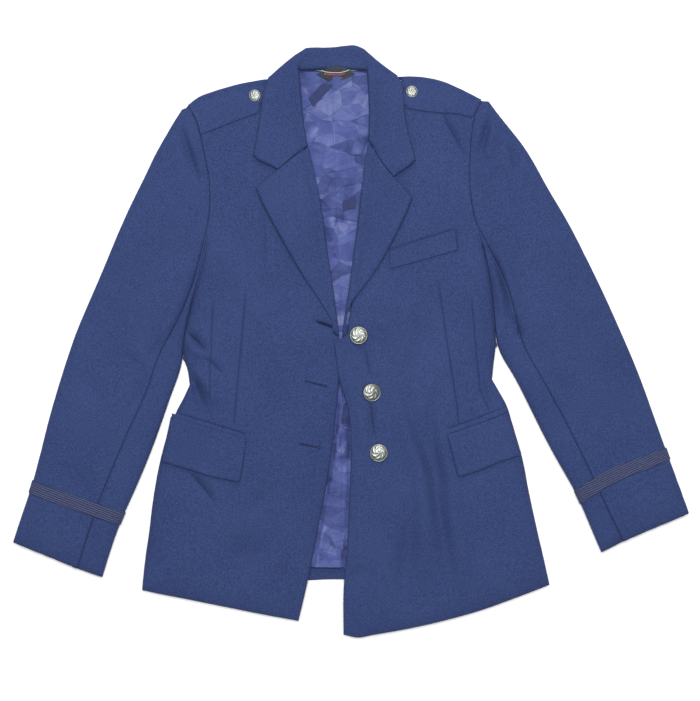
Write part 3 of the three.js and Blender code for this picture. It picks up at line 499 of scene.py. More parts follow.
def along(line, plan):
    """For each plan point, its distance to the line and how far along the line it is, 0 to 1."""
    line = np.array(line, float) * MM
    lengths = np.linalg.norm(np.diff(line, axis=0), axis=1)
    whole = lengths.sum()
    nearest = np.full(len(plan), 1e9)
    share = np.zeros(len(plan))
    before = 0.0
    for a, b, length in zip(line[:-1], line[1:], lengths):
        t = np.clip(((plan - a) @ (b - a)) / length ** 2, 0, 1)
        d = np.linalg.norm(plan - (a + t[:, None] * (b - a)), axis=1)
        closer = d < nearest
        nearest[closer] = d[closer]
        share[closer] = ((before + t * length) / whole)[closer]
        before += length
    return nearest, share


def folds(table, plan):
    """Height of all the folds of one table at those plan points, in metres."""
    total = np.zeros(len(plan))
    for line, width, height in FOLDS[table]:
        away, share = along(line, plan)
        fade = np.sin(math.pi * np.clip(share, 0.02, 0.98)) ** FOLD_FADE
        shape = np.exp(-(away / (width * MM)) ** 2)
        if height < 0 and width < BROAD_FOLD:
            crease = np.exp(-away / (CRISP_WIDTH * (width * MM)))
            shape = CRISP_SHARE * crease + (1 - CRISP_SHARE) * shape
        total += FOLD_STRENGTH * height * MM * fade * shape
    return total


print("folds:", {table: len(rows) for table, rows in FOLDS.items()})

# %% [markdown]
# ## Cutting a shell
# A shell starts as a flat sheet of small triangles inside the smooth rim: a few rows just inside
# the edge, a grid of points in the middle, and extra rows along a dart, joined by Blender's Delaunay
# triangulation. Each point then drops on to the solid, the sheet is smoothed, and its edge is
# rounded. A second skin below it and a wall round the rim close the cloth.

# %% Sheets
EDGE_ROWS = [0.6, 1.5, 2.8]
GRID_CLEAR = (EDGE_ROWS[-1] + 1.2) * MM
ROW_HEIGHT = 0.866
RIM_ANGLE = math.radians(50)
EDGE_ROUND = 1.3
EDGE_DROP, EDGE_LIFT = 0.45, 0.3
THINNEST = 0.15 * MM
CURL_REACH = 2.6 * MM


def flat_sheet(ring, step, extra=()):
    """Plan points and triangles inside the ring; the ring's own points come first."""
    tree = line_tree(closed(ring))
    ahead = np.roll(ring, -1, axis=0) - np.roll(ring, 1, axis=0)
    ahead /= np.maximum(1e-9, np.linalg.norm(ahead, axis=1))[:, None]
    inward = np.stack([-ahead[:, 1], ahead[:, 0]], axis=1)
    rows = []
    for depth in EDGE_ROWS:
        row = ring + inward * depth * MM
        row = row[inside(ring, row)]
        rows.append(row[distance_in(tree, row) > depth * MM * 0.85])
    low, high = ring.min(axis=0), ring.max(axis=0)
    xs = np.arange(low[0], high[0], step)
    ys = np.arange(low[1], high[1], step * ROW_HEIGHT)
    grid = np.array([(x + (j % 2) * step / 2, y) for j, y in enumerate(ys) for x in xs])
    grid = grid[inside(ring, grid)]
    grid = grid[distance_in(tree, grid) > GRID_CLEAR]
    if len(extra):
        extra = extra[inside(ring, extra)]
        extra = extra[distance_in(tree, extra) > EDGE_ROWS[-1] * MM]
        grid = grid[distance_in(points_tree(extra), grid) > step * 0.5]
        rows.append(extra)
    cloud = np.vstack([ring, *rows, grid])
    n = len(ring)
    constraint = [(i, (i + 1) % n) for i in range(n)]
    points, _, faces, *_ = delaunay_2d_cdt(
        [Vector(p) for p in cloud], constraint, [], 1, 1e-7)
    used = sorted({v for f in faces for v in f})
    rank = {v: i for i, v in enumerate(used)}
    plan = np.array([points[v][:] for v in used])
    triangles = [tuple(rank[v] for v in f) for f in faces]
    edges = {(f[i], f[(i + 1) % 3]) for f in triangles for i in range(3)}
    follow = {a: b for a, b in edges if (b, a) not in edges}
    start = next(iter(follow))
    rim = [start]
    while follow[rim[-1]] != start:
        rim.append(follow[rim[-1]])
    return plan, triangles, rim, tree


def eased(heights, faces, rim, rounds):
    """Heights evened out over their neighbours; the rim is evened only along itself."""
    pairs = np.array([(f[i], f[(i + 1) % 3]) for f in faces for i in range(3)])
    rim_ids = np.array(rim)
    for _ in range(rounds):
        total = np.zeros(len(heights))
        count = np.zeros(len(heights))
        np.add.at(total, pairs[:, 0], heights[pairs[:, 1]])
        np.add.at(count, pairs[:, 0], 1)
        mean = total / np.maximum(count, 1)
        edge = heights[rim_ids]
        edge = 0.5 * edge + 0.25 * (np.roll(edge, 1) + np.roll(edge, -1))
        heights = 0.5 * heights + 0.5 * mean
        heights[rim_ids] = edge
    return heights


def object_from(name, points, faces, material):
    mesh = bpy.data.meshes.new(name)
    mesh.from_pydata([tuple(p) for p in points], [], faces)
    mesh.validate()
    made = bmesh.new()
    made.from_mesh(mesh)
    bmesh.ops.recalc_face_normals(made, faces=made.faces)
    made.to_mesh(mesh)
    made.free()
    mesh.shade_smooth()
    mesh.set_sharp_from_angle(angle=RIM_ANGLE)
    mesh.materials.append(material)
    piece = bpy.data.objects.new(name, mesh)
    bpy.context.scene.collection.objects.link(piece)
    return piece


def shell(name, node, wall, material, step=3.2, rise=None, rounds=3, extra=(), level=None,
          tuck=None, curl=None):
    """A closed shell on a solid. rise adds height, tuck moves the rim, curl bends it down."""
    points, faces = seen_from_above(node)
    ring = smoothed(rim_of(points, faces), RIM_STEP)
    if tuck is not None:
        ring = tuck(ring)
    plan, triangles, rim, tree = flat_sheet(ring, step * MM, extra)
    cloth = BVHTree.FromPolygons(points.tolist(), faces.tolist())
    down = Vector((0, 0, -1))
    heights = []
    for x, y in plan:
        hit = cloth.ray_cast(Vector((x, y, 0.1)), down)[0]
        hit = hit or cloth.find_nearest(Vector((x, y, 0.008)))[0]
        heights.append(hit.z)
    heights = np.array(heights)
    if level is not None:
        heights = level(plan, heights)
    heights = eased(heights, triangles, rim, rounds)
    if rise is not None:
        heights = heights + rise(plan)
    away = distance_in(tree, plan)
    if curl is not None:
        heights = heights - curl(plan) * (1 - np.minimum(away / CURL_REACH, 1)) ** 1.5
    radius = EDGE_ROUND * MM
    arc = np.sqrt(np.maximum(0, 1 - (1 - np.minimum(away / radius, 1)) ** 2))
    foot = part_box(node)[0][2]
    thick = wall * MM
    top = heights - (1 - arc) * thick * EDGE_DROP
    under = np.maximum(heights - thick + (1 - arc) * thick * EDGE_LIFT, foot)
    under = np.minimum(under, top - THINNEST)
    n = len(plan)
    all_points = np.vstack([np.column_stack([plan, top]), np.column_stack([plan, under])])
    all_faces = list(triangles) + [tuple(v + n for v in reversed(f)) for f in triangles]
    for a, b in zip(rim, rim[1:] + rim[:1]):
        all_faces.append((b, a, a + n, b + n))
    piece = object_from(name, all_points, all_faces, material)
    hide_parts(node)
    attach(piece, "root")
    return piece, ring


# %% [markdown]
# ## The cut of a sheet
# Each piece of cloth also states the size that it was cut to. The smallest upright or turned
# rectangle round its outline gives that, and its area comes from the outline itself.

# %% Cut sizes
TURN_STEP = 3
NARROWEST = 0.0101


def cut_of(ring):
    """(width, length) of the smallest rectangle round the ring, and the ring's area."""
    x, y = ring.T
    size = abs(0.5 * np.sum(x * np.roll(y, -1) - np.roll(x, -1) * y))
    best = None
    for degrees in range(0, 90, TURN_STEP):
        a = math.radians(degrees)
        turned = ring @ np.array([[math.cos(a), -math.sin(a)], [math.sin(a), math.cos(a)]])
        w, l = np.ptp(turned, axis=0)
        if best is None or w * l < best[0] * best[1]:
            best = (w, l)
    return (min(best), max(best)), size


def lay_down(piece, ring):
    (w, l), size = cut_of(ring)
    w = max(w, NARROWEST)
    print(f"{piece.name}: {w / MM:.0f} x {l / MM:.0f} mm, {len(piece.data.polygons)} faces")


# %% [markdown]
# ## How full the body lies
# The chest and skirts hold a little air, so the fronts stand highest in the middle and fall away
# round the sides and shoulders. One function gives that fullness, with the folds, and every piece
# that lies on a front uses it too, so the pieces stay on each other.

# %% Fullness of the body
front_rims = {}
for hand in ("right", "left"):
    front_rims[hand] = smoothed(rim_of(*seen_from_above(f"front_{hand}")), RIM_STEP)

FULLNESS = 7.0
SIDE_ROUND = 25
OPENING_ROUND = 20
OPENING_SHARE = 0.35
ARMPIT = 0.12
NECK_FADE = (0.352, 0.05)
SEWN = 7 * MM
BODY_CALM = 9 * MM
NECK_POINT = (0.055, 0.342)
HEM_SLANT = 0.9


def string_of(ring, chosen):
    """The chosen points of a ring in order, as the longest unbroken run."""
    start = next(i for i in range(len(ring)) if chosen[i] and not chosen[i - 1])
    runs, run = [], []
    for i in range(len(ring)):
        k = (start + i) % len(ring)
        if chosen[k]:
            run.append(ring[k])
        elif run:
            runs.append(run)
            run = []
    return np.array(max(runs + [run], key=len))


def rim_parts(hand):
    """The front's armhole, its open edge, and the rest of its rim, as three point strings."""
    ring = front_rims[hand]
    sign = -1 if hand == "right" else 1
    sleeve = smoothed(rim_of(*seen_from_above(f"topsleeve_{hand}")), RIM_STEP)
    near = distance_in(line_tree(closed(sleeve)), ring) < SEWN
    armhole = string_of(ring, near & (ring[:, 1] > ARMPIT))
    neck = int(np.argmin(np.linalg.norm(ring - [sign * NECK_POINT[0], NECK_POINT[1]], axis=1)))
    corner = int(np.argmin(ring[:, 1] + HEM_SLANT * sign * ring[:, 0]))
    step = 1 if hand == "right" else -1
    opening = []
    i = corner
    while i != neck:
        opening.append(i)
        i = (i + step) % len(ring)
    open_edge = np.zeros(len(ring), bool)
    open_edge[opening] = True
    armhole_tree = line_tree(armhole)
    rest = ring[~open_edge & (distance_in(armhole_tree, ring) > 2 * MM)]
    return armhole, ring[open_edge], rest


armholes, openings, sides = {}, {}, {}
for hand in ("right", "left"):
    armholes[hand], openings[hand], sides[hand] = rim_parts(hand)
    print(hand, "rim points:", len(armholes[hand]), len(openings[hand]), len(sides[hand]))
side_tree = points_tree(np.vstack(list(sides.values())))
opening_tree = points_tree(np.vstack(list(openings.values())))
armhole_tree = points_tree(np.vstack(list(armholes.values())))


def rounded(away, reach):
    return np.sqrt(np.maximum(0, 1 - (1 - np.minimum(away / reach, 1)) ** 2))


def on_body(plan):
    """Height that the body's fullness and folds add, in metres."""
    away = distance_in(side_tree, plan)
    open_away = distance_in(opening_tree, plan)
    neck = np.clip((NECK_FADE[0] - plan[:, 1]) / NECK_FADE[1], 0, 1)
    swell = FULLNESS * MM * rounded(away, SIDE_ROUND * MM) * neck
    swell *= OPENING_SHARE + (1 - OPENING_SHARE) * rounded(open_away, OPENING_ROUND * MM)
    calm = np.minimum(1, np.minimum(away, distance_in(armhole_tree, plan)) / BODY_CALM)
    return swell + folds("body", plan) * calm


# %% [markdown]
# ## Back and lining
# The back is two panels with a seam down the middle. The lining is satin, cut loose with a pleat
# down the centre back, and it crumples: sharp little tents that meet at all angles. They are made
# by two seeded sheets of flat facets, one coarse and one fine, so it is the same each time. The
# skirt of the lining also swells between the fronts, and it sinks where they open.

# %% Back
for hand in ("right", "left"):
    piece, ring = shell(f"back_{hand}_cloth", f"back_{hand}", 1.6, serge, step=9, rounds=0)
    lay_down(piece, ring)
piece, ring = shell("back_hem_cloth", "back_hem", 1.0, serge, step=3)
lay_down(piece, ring)

# %% Crumpled lining
LINING_SPREAD = (-0.12, -0.32), (0.08, 0.37)
FACET_LENGTH = 1.15
LINING_ROOM = 5.2 * MM
LINING_OFF = 1.0 * MM
UNDER_FRONT = 0.9
LINING_SINKS = 6 * MM
LINING_SWELL = 4 * MM
SWELL_LENGTH = 60 * MM


def facets(spacing, highest, seed):
    """A seeded sheet of flat facets over the lining, with its points that far apart."""
    rng = random.Random(seed)
    points = []
    low, high = LINING_SPREAD
    columns = int((high[0] - low[0]) / (spacing * MM))
    rows = int((high[1] - low[1]) / (spacing * FACET_LENGTH * MM))
    for i in range(columns):
        for j in range(rows):
            x = low[0] + (i + rng.uniform(0.05, 0.95)) * spacing * MM
            y = low[1] + (j + rng.uniform(0.05, 0.95)) * spacing * FACET_LENGTH * MM
            points.append((x, y, rng.uniform(0, 1) ** 1.2 * highest * MM))
    flat_points = [Vector(p[:2]) for p in points]
    _, _, faces, *_ = delaunay_2d_cdt(flat_points, [], [], 0, 1e-7)
    return BVHTree.FromPolygons(points, [tuple(f) for f in faces])


LINING_FACETS = [facets(15, 5.4, 11), facets(9, 1.8, 5)]


def crumple(plan):
    total = np.zeros(len(plan))
    for tree in LINING_FACETS:
        for i, (x, y) in enumerate(plan):
            total[i] += tree.ray_cast(Vector((x, y, 0.05)), Vector((0, 0, -1)))[0].z
    covered = inside(front_rims["right"], plan) | inside(front_rims["left"], plan)
    swell = LINING_SWELL * np.clip(-plan[:, 1] / SWELL_LENGTH, 0, 1)
    total += swell
    room = np.where(covered, on_body(plan) + UNDER_FRONT * MM, LINING_ROOM + swell)
    hollow = np.clip(distance_in(opening_tree, plan) / LINING_SINKS, 0.15, 1)
    return np.clip(np.minimum((total - LINING_OFF) * hollow, room), 0, None)


for hand in ("right", "left"):
    piece, ring = shell(f"lining_{hand}", f"back_lining_{hand}", 0.5, satin, step=2.4,
                        rise=crumple, rounds=1)
    lay_down(piece, ring)

# %% [markdown]
# ## Fronts
# Each front is one panel with two darts. A dart is a narrow pinch sewn from the chest to the pocket:
# the seam sinks a little and the cloth beside it stands up. Extra rows of points along each dart
# give the pinch its shape.

# %% Fronts
DARTS = {
    "right": [
        [(-171, 64), (-174, 2), (-176, -73)],
        [(-129, 77), (-133, 39), (-136, 2), (-140, -36), (-142, -61), (-146, -104)],
    ],
    "left": [
        [(149, 71), (151, 39), (154, 2), (161, -61), (172, -86)],
        [(105, 96), (109, 71), (114, 39), (119, 2), (124, -29), (128, -54), (132, -80), (134, -104)],
    ],
}
SEWN_LINES = {
    "right": [[(-224, -87.5), (-206, -92.5), (-131, -115.5)]],
    "left": [
        [(122, -108), (158, -95.5), (194, -81)],
        [(47, 113.5), (88, 127), (129, 140)],
        [(130.5, 139), (133.5, 113)],
    ],
}
DART_DEPTH = 1.4
DART_WIDTH = 0.9 * MM
ROW_OFFSETS = (-1.7, -0.7, 0, 0.7, 1.7)
ROW_STEP = 2.6 * MM
FRONT_TOP = 7.4
SEWN_BAND = 12 * MM
CREVICE = 2.6 * MM
CLEAR = 0.14 * MM


def dart_rows(hand):
    rows = []
    sign = -1 if hand == "right" else 1
    troughs = [line for line, _, height in FOLDS["body"] if height < 0 and line[0][0] * sign > 0]
    for dart in DARTS[hand] + SEWN_LINES[hand] + troughs:
        line = np.array(dart, float) * MM
        for a, b in zip(line[:-1], line[1:]):
            ahead = (b - a) / np.linalg.norm(b - a)
            across = np.array([-ahead[1], ahead[0]])
            for k in np.arange(0, np.linalg.norm(b - a), ROW_STEP):
                rows += [a + ahead * k + across * s * MM for s in ROW_OFFSETS]
    return np.array(rows)


def darts(hand, plan):
    total = np.zeros(len(plan))
    for dart in DARTS[hand]:
        away, share = along(dart, plan)
        fade = np.clip(share * 5, 0, 1)
        groove = -DART_DEPTH * np.exp(-(away / DART_WIDTH) ** 2)
        shoulder = 0.5 * np.exp(-((away - 3 * MM) / (2.4 * MM)) ** 2)
        total += (groove + shoulder) * MM * fade
    for line in SEWN_LINES[hand]:
        away, _ = along(line, plan)
        total -= DART_DEPTH * MM * np.exp(-(away / DART_WIDTH) ** 2)
    return total


sleeve_ring = {}
for hand in ("right", "left"):
    sleeve_ring[hand] = rim_of(*seen_from_above(f"undersleeve_{hand}"))


def beside_sleeve(ring):
    """The body's edge is drawn out until it almost meets the sleeve that lies beside it."""
    hand = "right" if ring[:, 0].mean() < 0 else "left"
    dense = line_points(closed(sleeve_ring[hand]), 0.3 * MM)
    tree = points_tree(dense)
    moved = ring.copy()
    for i, (x, y) in enumerate(ring):
        _, index, away = tree.find((x, y, 0))
        if CLEAR < away < CREVICE and y < ARMPIT + 0.02:
            moved[i] += (dense[index] - ring[i]) * (away - CLEAR) / away
    return moved


def sewn_level(plan, heights):
    """Along the armhole the front keeps its height, because the sleeve is sewn to it there."""
    sewn = distance_in(armhole_tree, plan) < SEWN_BAND
    return np.where(sewn, np.maximum(heights, FRONT_TOP * MM), heights)


for hand in ("right", "left"):
    piece, ring = shell(
        f"front_{hand}_cloth", f"front_{hand}", 2.0, serge, step=3.0, extra=dart_rows(hand),
        rise=lambda plan, hand=hand: on_body(plan) + darts(hand, plan), level=sewn_level,
        tuck=beside_sleeve)
    lay_down(piece, ring)

# %% [markdown]
# ## Lapels, collar, straps, pockets
# These pieces lie on the fronts. Each is a shell on its own solid, raised by the same fullness as
# the front beneath it. Lapels, collar and flaps also stand off their fold or seam, and their free
# edges bend back down. Along the gorge, where the lapel is sewn to the collar, they don't.

# %% Pieces on the fronts
STRAP_NEAR = 2.2 * MM
STRAP_TUCK = 3.0
TIPS = [(80.4, 225), (-121.8, 231), (77, 178.4), (-118.5, 190)]
TIP_REACH = 7.5 * MM
LAPEL_ENDS = {
    "lapel_right": [(-14.2, 5.6), (-18.4, 8.2), (-22.6, 14.6)],
    "lapel_left": [(-11.0, 5.4), (-6.6, 7.4), (-3.8, 13.6)],
}
END_LENGTH = 20 * MM
END_STEP = 2.6 * MM
GORGES = [[(-58, 255), (-90.3, 216)], [(19, 257.5), (51.9, 207)]]
GORGE_CALM = 3 * MM
CURL_SHARE = 0.7
jet_tree = points_tree(np.vstack([
    rim_of(*seen_from_above(f"pocket_jet_{hand}")) for hand in ("right", "left")]))


def rolled(height, reach, tree):
    """Height over the body that grows with the distance from a fold or a seam."""
    def rise(plan):
        away = np.minimum(1, distance_in(tree, plan) / (reach * MM))
        return on_body(plan) + height * MM * away
    return rise


collar_tree = line_tree(closed(rim_of(*seen_from_above("collar"))))


def under_collar(ring):
    """The strap's end is slipped under the collar's edge, which stands off the shoulder."""
    near = distance_in(collar_tree, ring) < STRAP_NEAR
    inward = np.sign(-ring[:, 0].mean())
    moved = ring.copy()
    moved[near, 0] += inward * STRAP_TUCK * MM
    return moved


def beyond(ring, near):
    """The rest of a ring, in order, from the end of its marked run to the start of it."""
    first = next(i for i in range(len(ring)) if near[i] and not near[i - 1])
    return np.roll(ring, -first, axis=0)[int(near.sum()):]


def pointed(ring):
    """The rim with its tips brought to a point, as a turned and pressed corner has."""
    shares = np.linspace(0, 1, 4)[1:-1, None]
    for tip in np.array(TIPS) * MM:
        near = np.linalg.norm(ring - tip, axis=1) < TIP_REACH
        if near.any():
            kept = beyond(ring, near)
            a, b = kept[-1], kept[0]
            ring = np.vstack([kept, a + (tip - a) * shares, [tip], tip + (b - tip) * shares])
    return ring


def ended(node):
    """The lapel's rim, with its lower end drawn out over the notch where the roll begins."""
    end = np.array(LAPEL_ENDS[node]) * MM

    def tuck(ring):
        kept = beyond(ring, ring[:, 1] < end[0, 1] + END_LENGTH)
        order = end if abs(kept[-1, 0] - end[0, 0]) < abs(kept[0, 0] - end[0, 0]) else end[::-1]
        corner = line_points(np.vstack([kept[-1:], order, kept[:1]]), END_STEP)
        return pointed(np.vstack([kept, corner[1:-1]]))
    return tuck


def curled(rise):
    """How far a free edge bends down: most of its rise, and nothing along a sewn gorge."""
    def curl(plan):
        gorge = np.minimum(*[along(line, plan)[0] for line in GORGES])
        free = np.clip((gorge - GORGE_CALM) / GORGE_CALM, 0, 1)
        return CURL_SHARE * (rise(plan) - on_body(plan)) * free
    return curl


flat = on_body
lapel_rise = rolled(5.0, 45, opening_tree)
flap_rise = rolled(2.4, 26, jet_tree)
ON_FRONTS = [
    ("lapel_right_cloth", "lapel_right", 2.0, "front_right_cloth", lapel_rise),
    ("lapel_left_cloth", "lapel_left", 2.0, "front_left_cloth", lapel_rise),
    ("collar_cloth", "collar", 2.0, "front_right_cloth", lapel_rise),
    ("strap_right_cloth", "shoulder_strap_right", 1.8, "front_right_cloth", flat),
    ("strap_left_cloth", "shoulder_strap_left", 1.8, "front_left_cloth", flat),
    ("jet_right_cloth", "pocket_jet_right", 1.2, "front_right_cloth", flat),
    ("jet_left_cloth", "pocket_jet_left", 1.2, "front_left_cloth", flat),
    ("flap_right_cloth", "pocket_flap_right", 1.8, "front_right_cloth", flap_rise),
    ("flap_left_cloth", "pocket_flap_left", 1.8, "front_left_cloth", flap_rise),
    ("welt_cloth", "breast_welt", 1.8, "front_left_cloth", flat),
]
for name, node, wall, support, rise in ON_FRONTS:
    tuck = under_collar if "strap" in node else pointed
    if node in LAPEL_ENDS:
        tuck = ended(node)
    curl = None if rise is flat else curled(rise)
    piece, ring = shell(name, node, wall, serge, step=2.6, rise=rise, tuck=tuck, curl=curl)
    lay_down(piece, ring)

# %% [markdown]
# ## Yarn and stitches
# A stitch or a line of yarn is drawn as short bars that follow the cloth, all in one mesh.

# %% Bars of yarn
TAPER, SHRINK = 0.9, 0.1
YARN_LOW, YARN_HIGH = 0.03 * MM, 0.35 * MM


def bar(a, b, half_width, low, high):
    """Corners and faces of a small box from plan point a to b, between two heights."""
    ahead = (b - a) / max(1e-9, np.linalg.norm(b - a))
    across = np.array([-ahead[1], ahead[0]]) * half_width
    ring = [a - across, b - across, b + across, a + across]
    points = [(*p, low) for p in ring] + [(*(p * TAPER + (a + b) / 2 * SHRINK), high) for p in ring]
    faces = [(3, 2, 1, 0), (4, 5, 6, 7)] + [
        (i, (i + 1) % 4, (i + 1) % 4 + 4, i + 4) for i in range(4)]
    return points, faces


def joined(name, parts, material):
    points, faces = [], []
    for new_points, new_faces in parts:
        n = len(points)
        points += new_points
        faces += [tuple(v + n for v in f) for f in new_faces]
    piece = object_from(name, points, faces, material)
    for polygon in piece.data.polygons:
        polygon.use_smooth = False
    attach(piece, "root")
    return piece


# %% [markdown]
# ## Label and tabs
# The woven label is plain: bars of off-white and dull red yarn on a dark ground, with no words. The
# two tabs are bare tape.

# %% Label and tabs
def on_neck(plan):
    return crumple(plan) * 0.5 + 0.6 * MM


for name, node, finish, slot in (
    ("label_cloth", "neck_label", label_cloth, "label"),
    ("tab_upper_cloth", "tab_upper", tape_cloth, "tape"),
    ("tab_lower_cloth", "tab_lower", tape_cloth, "tape"),
):
    rise = on_neck if node != "tab_lower" else (lambda plan: crumple(plan) + 0.5 * MM)
    piece, ring = shell(name, node, 0.8, finish, step=1.6, rise=rise)
    lay_down(piece, ring)

# %% Label yarns
def draped_bars(name, rows, finish, half_width):
    """Short bars of yarn along plan lines, in mm, that follow the top of the label."""
    mesh = bpy.data.objects["label_cloth"].data
    tree = BVHTree.FromPolygons([v.co[:] for v in mesh.vertices],
                                [p.vertices[:] for p in mesh.polygons])
    parts = []
    for line in rows:
        dense = line_points(np.array(line, float) * MM, 1.0 * MM)
        for a, b in zip(dense[:-1], dense[1:]):
            middle = (a + b) / 2
            hit = tree.ray_cast(Vector((middle[0], middle[1], 0.1)), Vector((0, 0, -1)))[0]
            if hit is not None:
                parts.append(bar(a, b, half_width * MM, hit.z + YARN_LOW, hit.z + YARN_HIGH))
    joined(name, parts, finish)


LABEL_ARC = [(-39, 334), (-32, 331.5), (-24, 330), (-14, 330), (-6, 332), (1, 335)]
PALE_BAR = [(-33, 334), (-26, 332.8), (-24, 332.8)]
draped_bars("label_yarn_pale", [[(x, y + 5) for x, y in LABEL_ARC], PALE_BAR], off_white, 0.45)
draped_bars("label_yarn_red", [[(x, y + 2.6) for x, y in LABEL_ARC[1:5]]], dull_red, 1.1)
print("label yarns:", off_white.name, dull_red.name)

# %% [markdown]
# ## Sleeves
# A sleeve is a flat tube of two panels. Its solids are already lofted section by section, so here
# the same faces are joined to quads, divided by Catmull-Clark subdivision with their cut edges kept
# sharp, and then the upper layer is lifted by the sleeve's fullness and folds. The layer that lies
# on the floor stays flat.

# %% Sleeve shells
SHARP = math.radians(40)
SQUARE_ENOUGH = math.radians(80)
SLEEVE_FULLNESS = 7.2
SLEEVE_ROUND = 30
SLEEVE_TOP = 5.4
SLEEVE_FLOOR = 1.8
SLEEVE_LEVELS = 3
SLEEVE_CALM = 4 * MM


def divided(name, node, material):
    """A smooth, finely divided copy of a CAD node's mesh."""
    made = bmesh.new()
    made.from_mesh(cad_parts[node].data)
    bmesh.ops.remove_doubles(made, verts=made.verts, dist=0.02 * MM)
    bmesh.ops.join_triangles(
        made, faces=made.faces, angle_face_threshold=SHARP, angle_shape_threshold=SQUARE_ENOUGH)
    crease = made.edges.layers.float.new("crease_edge")
    for edge in made.edges:
        if len(edge.link_faces) == 2 and edge.calc_face_angle(0) > SHARP:
            edge[crease] = 1.0
    mesh = bpy.data.meshes.new(name)
    made.to_mesh(mesh)
    made.free()
    piece = bpy.data.objects.new(name, mesh)
    bpy.context.scene.collection.objects.link(piece)
    subdivision = piece.modifiers.new("fine", "SUBSURF")
    subdivision.levels = SLEEVE_LEVELS
    view = bpy.context.evaluated_depsgraph_get()
    fine = bpy.data.meshes.new_from_object(piece.evaluated_get(view))
    piece.modifiers.clear()
    piece.data = fine
    fine.materials.clear()
    fine.materials.append(material)
    fine.shade_smooth()
    fine.set_sharp_from_angle(angle=RIM_ANGLE)
    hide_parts(node)
    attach(piece, "root")
    return piece


SLEEVE_LINES = {
    "right": dict(
        seam=[(-178, 151), (-186, 117), (-195, 82), (-207, 46), (-227, 5), (-242, -19),
              (-251, -53), (-268, -89), (-286, -130), (-304, -173), (-317, -206),
              (-329, -244), (-342, -283)],
        inner=[(-178, 151), (-182, 117), (-190, 82), (-200, 45), (-210, 0), (-211, -28),
               (-224, -63), (-237, -101), (-252, -142), (-270, -185), (-284, -215),
               (-298, -252), (-311, -294), (-342, -283)],
    ),
    "left": dict(
        seam=[(154, 151), (168, 124), (182, 97), (195, 66), (205, 30), (213, -3), (229, -31),
              (246, -61), (264, -94), (283, -132), (302, -172), (320, -211), (339, -249)],
        inner=[(154, 151), (163, 122), (171, 92), (176, 60), (179, 22), (183, -10), (201, -39),
               (217, -70), (236, -109), (256, -147), (279, -186), (295, -223), (312, -263),
               (339, -249)],
    ),
}
SEAM_WANDER = 7 * MM
SEAM_REACH = 5 * MM
SEAM_GAP = 0.12 * MM
UPPER_LAYER = SLEEVE_TOP * MM - 0.3 * MM


def sleeve_edges(hand):
    """Distance tree over the sleeve's silhouette, and its front seam as a point string."""
    top = smoothed(rim_of(*seen_from_above(f"topsleeve_{hand}")), 3 * MM)
    seam_tree = line_tree(np.array(SLEEVE_LINES[hand]["seam"], float) * MM)
    beside = distance_in(seam_tree, top) < SEAM_WANDER
    seam = string_of(top, beside)
    print("seam", hand, "from", (seam[0] / MM).round(), "to", (seam[-1] / MM).round())
    inner = line_points(np.array(SLEEVE_LINES[hand]["inner"], float) * MM, 1.5 * MM)
    rim = np.vstack([top[~beside], inner])
    rim = rim[distance_in(armhole_tree, rim) > SEWN]
    return points_tree(rim), seam


def on_sleeve(hand, tree, plan):
    away = distance_in(tree, plan)
    full = SLEEVE_FULLNESS * MM * rounded(away, SLEEVE_ROUND * MM)
    calm = np.minimum(1, np.minimum(away, distance_in(armhole_tree, plan)) / SLEEVE_CALM)
    return full + folds(f"sleeve_{hand}", plan) * calm


def draw_to_seam(points, seam, upper):
    """The panel's edge is drawn in until it almost meets the seam."""
    dense = line_points(seam, 0.2 * MM)
    tree = points_tree(dense)
    found = [tree.find((x, y, 0)) for x, y in points[:, :2]]
    away = np.array([f[2] for f in found])
    target = dense[[f[1] for f in found]]
    near = upper & (away < SEAM_REACH)
    gap = away[near].min()
    wanted = SEAM_GAP + (away - gap) * (SEAM_REACH - SEAM_GAP) / (SEAM_REACH - gap)
    share = np.where(near, (away - wanted) / np.maximum(away, 1e-9), 0)
    points[:, :2] += (target - points[:, :2]) * share[:, None]
    return points


def lift_sleeve(piece, hand, tree, seam=None):
    mesh = piece.data
    points = np.array([v.co[:] for v in mesh.vertices])
    if seam is not None:
        points = draw_to_seam(points, seam, points[:, 2] > UPPER_LAYER)
    share = np.clip((points[:, 2] / MM - SLEEVE_FLOOR) / (SLEEVE_TOP - SLEEVE_FLOOR), 0, 1)
    points[:, 2] += on_sleeve(hand, tree, points[:, :2]) * share
    mesh.vertices.foreach_set("co", points.ravel())
    mesh.update()


STRIP_TOP = 5.1
STRIP_WALL = 0.6 * MM
STRIP_SIDES = (-5.1, -2.5, 0, 2.5, 5.1)


def seam_strip(name, line, rise, trim=(2, 2)):
    """The seam allowance: a narrow ribbon of cloth under a seam, pressed open."""
    line = line[trim[0]:len(line) - trim[1]]
    ahead = np.gradient(line, axis=0)
    ahead /= np.linalg.norm(ahead, axis=1)[:, None]
    across = np.stack([-ahead[:, 1], ahead[:, 0]], axis=1)
    rows = [line + across * side * MM for side in STRIP_SIDES]
    plan = np.vstack(rows)
    top = rise(plan) + STRIP_TOP * MM
    points = np.vstack([np.column_stack([plan, top]), np.column_stack([plan, top - STRIP_WALL])])
    n, m = len(line), len(plan)
    faces = []
    for j in range(4):
        for i in range(n - 1):
            a, b, c, d = j * n + i, j * n + i + 1, (j + 1) * n + i + 1, (j + 1) * n + i
            faces += [(a, b, c, d), (d + m, c + m, b + m, a + m)]
    for i in range(n - 1):
        faces += [(i + 1, i, i + m, i + 1 + m)]
        k = 4 * n + i
        faces += [(k, k + 1, k + 1 + m, k + m)]
    for j in range(4):
        for i in (0, n - 1):
            a, b = j * n + i, (j + 1) * n + i
            faces += [(a, b, b + m, a + m) if i == 0 else (b, a, a + m, b + m)]
    piece = object_from(name, points, faces, serge)
    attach(piece, "root")


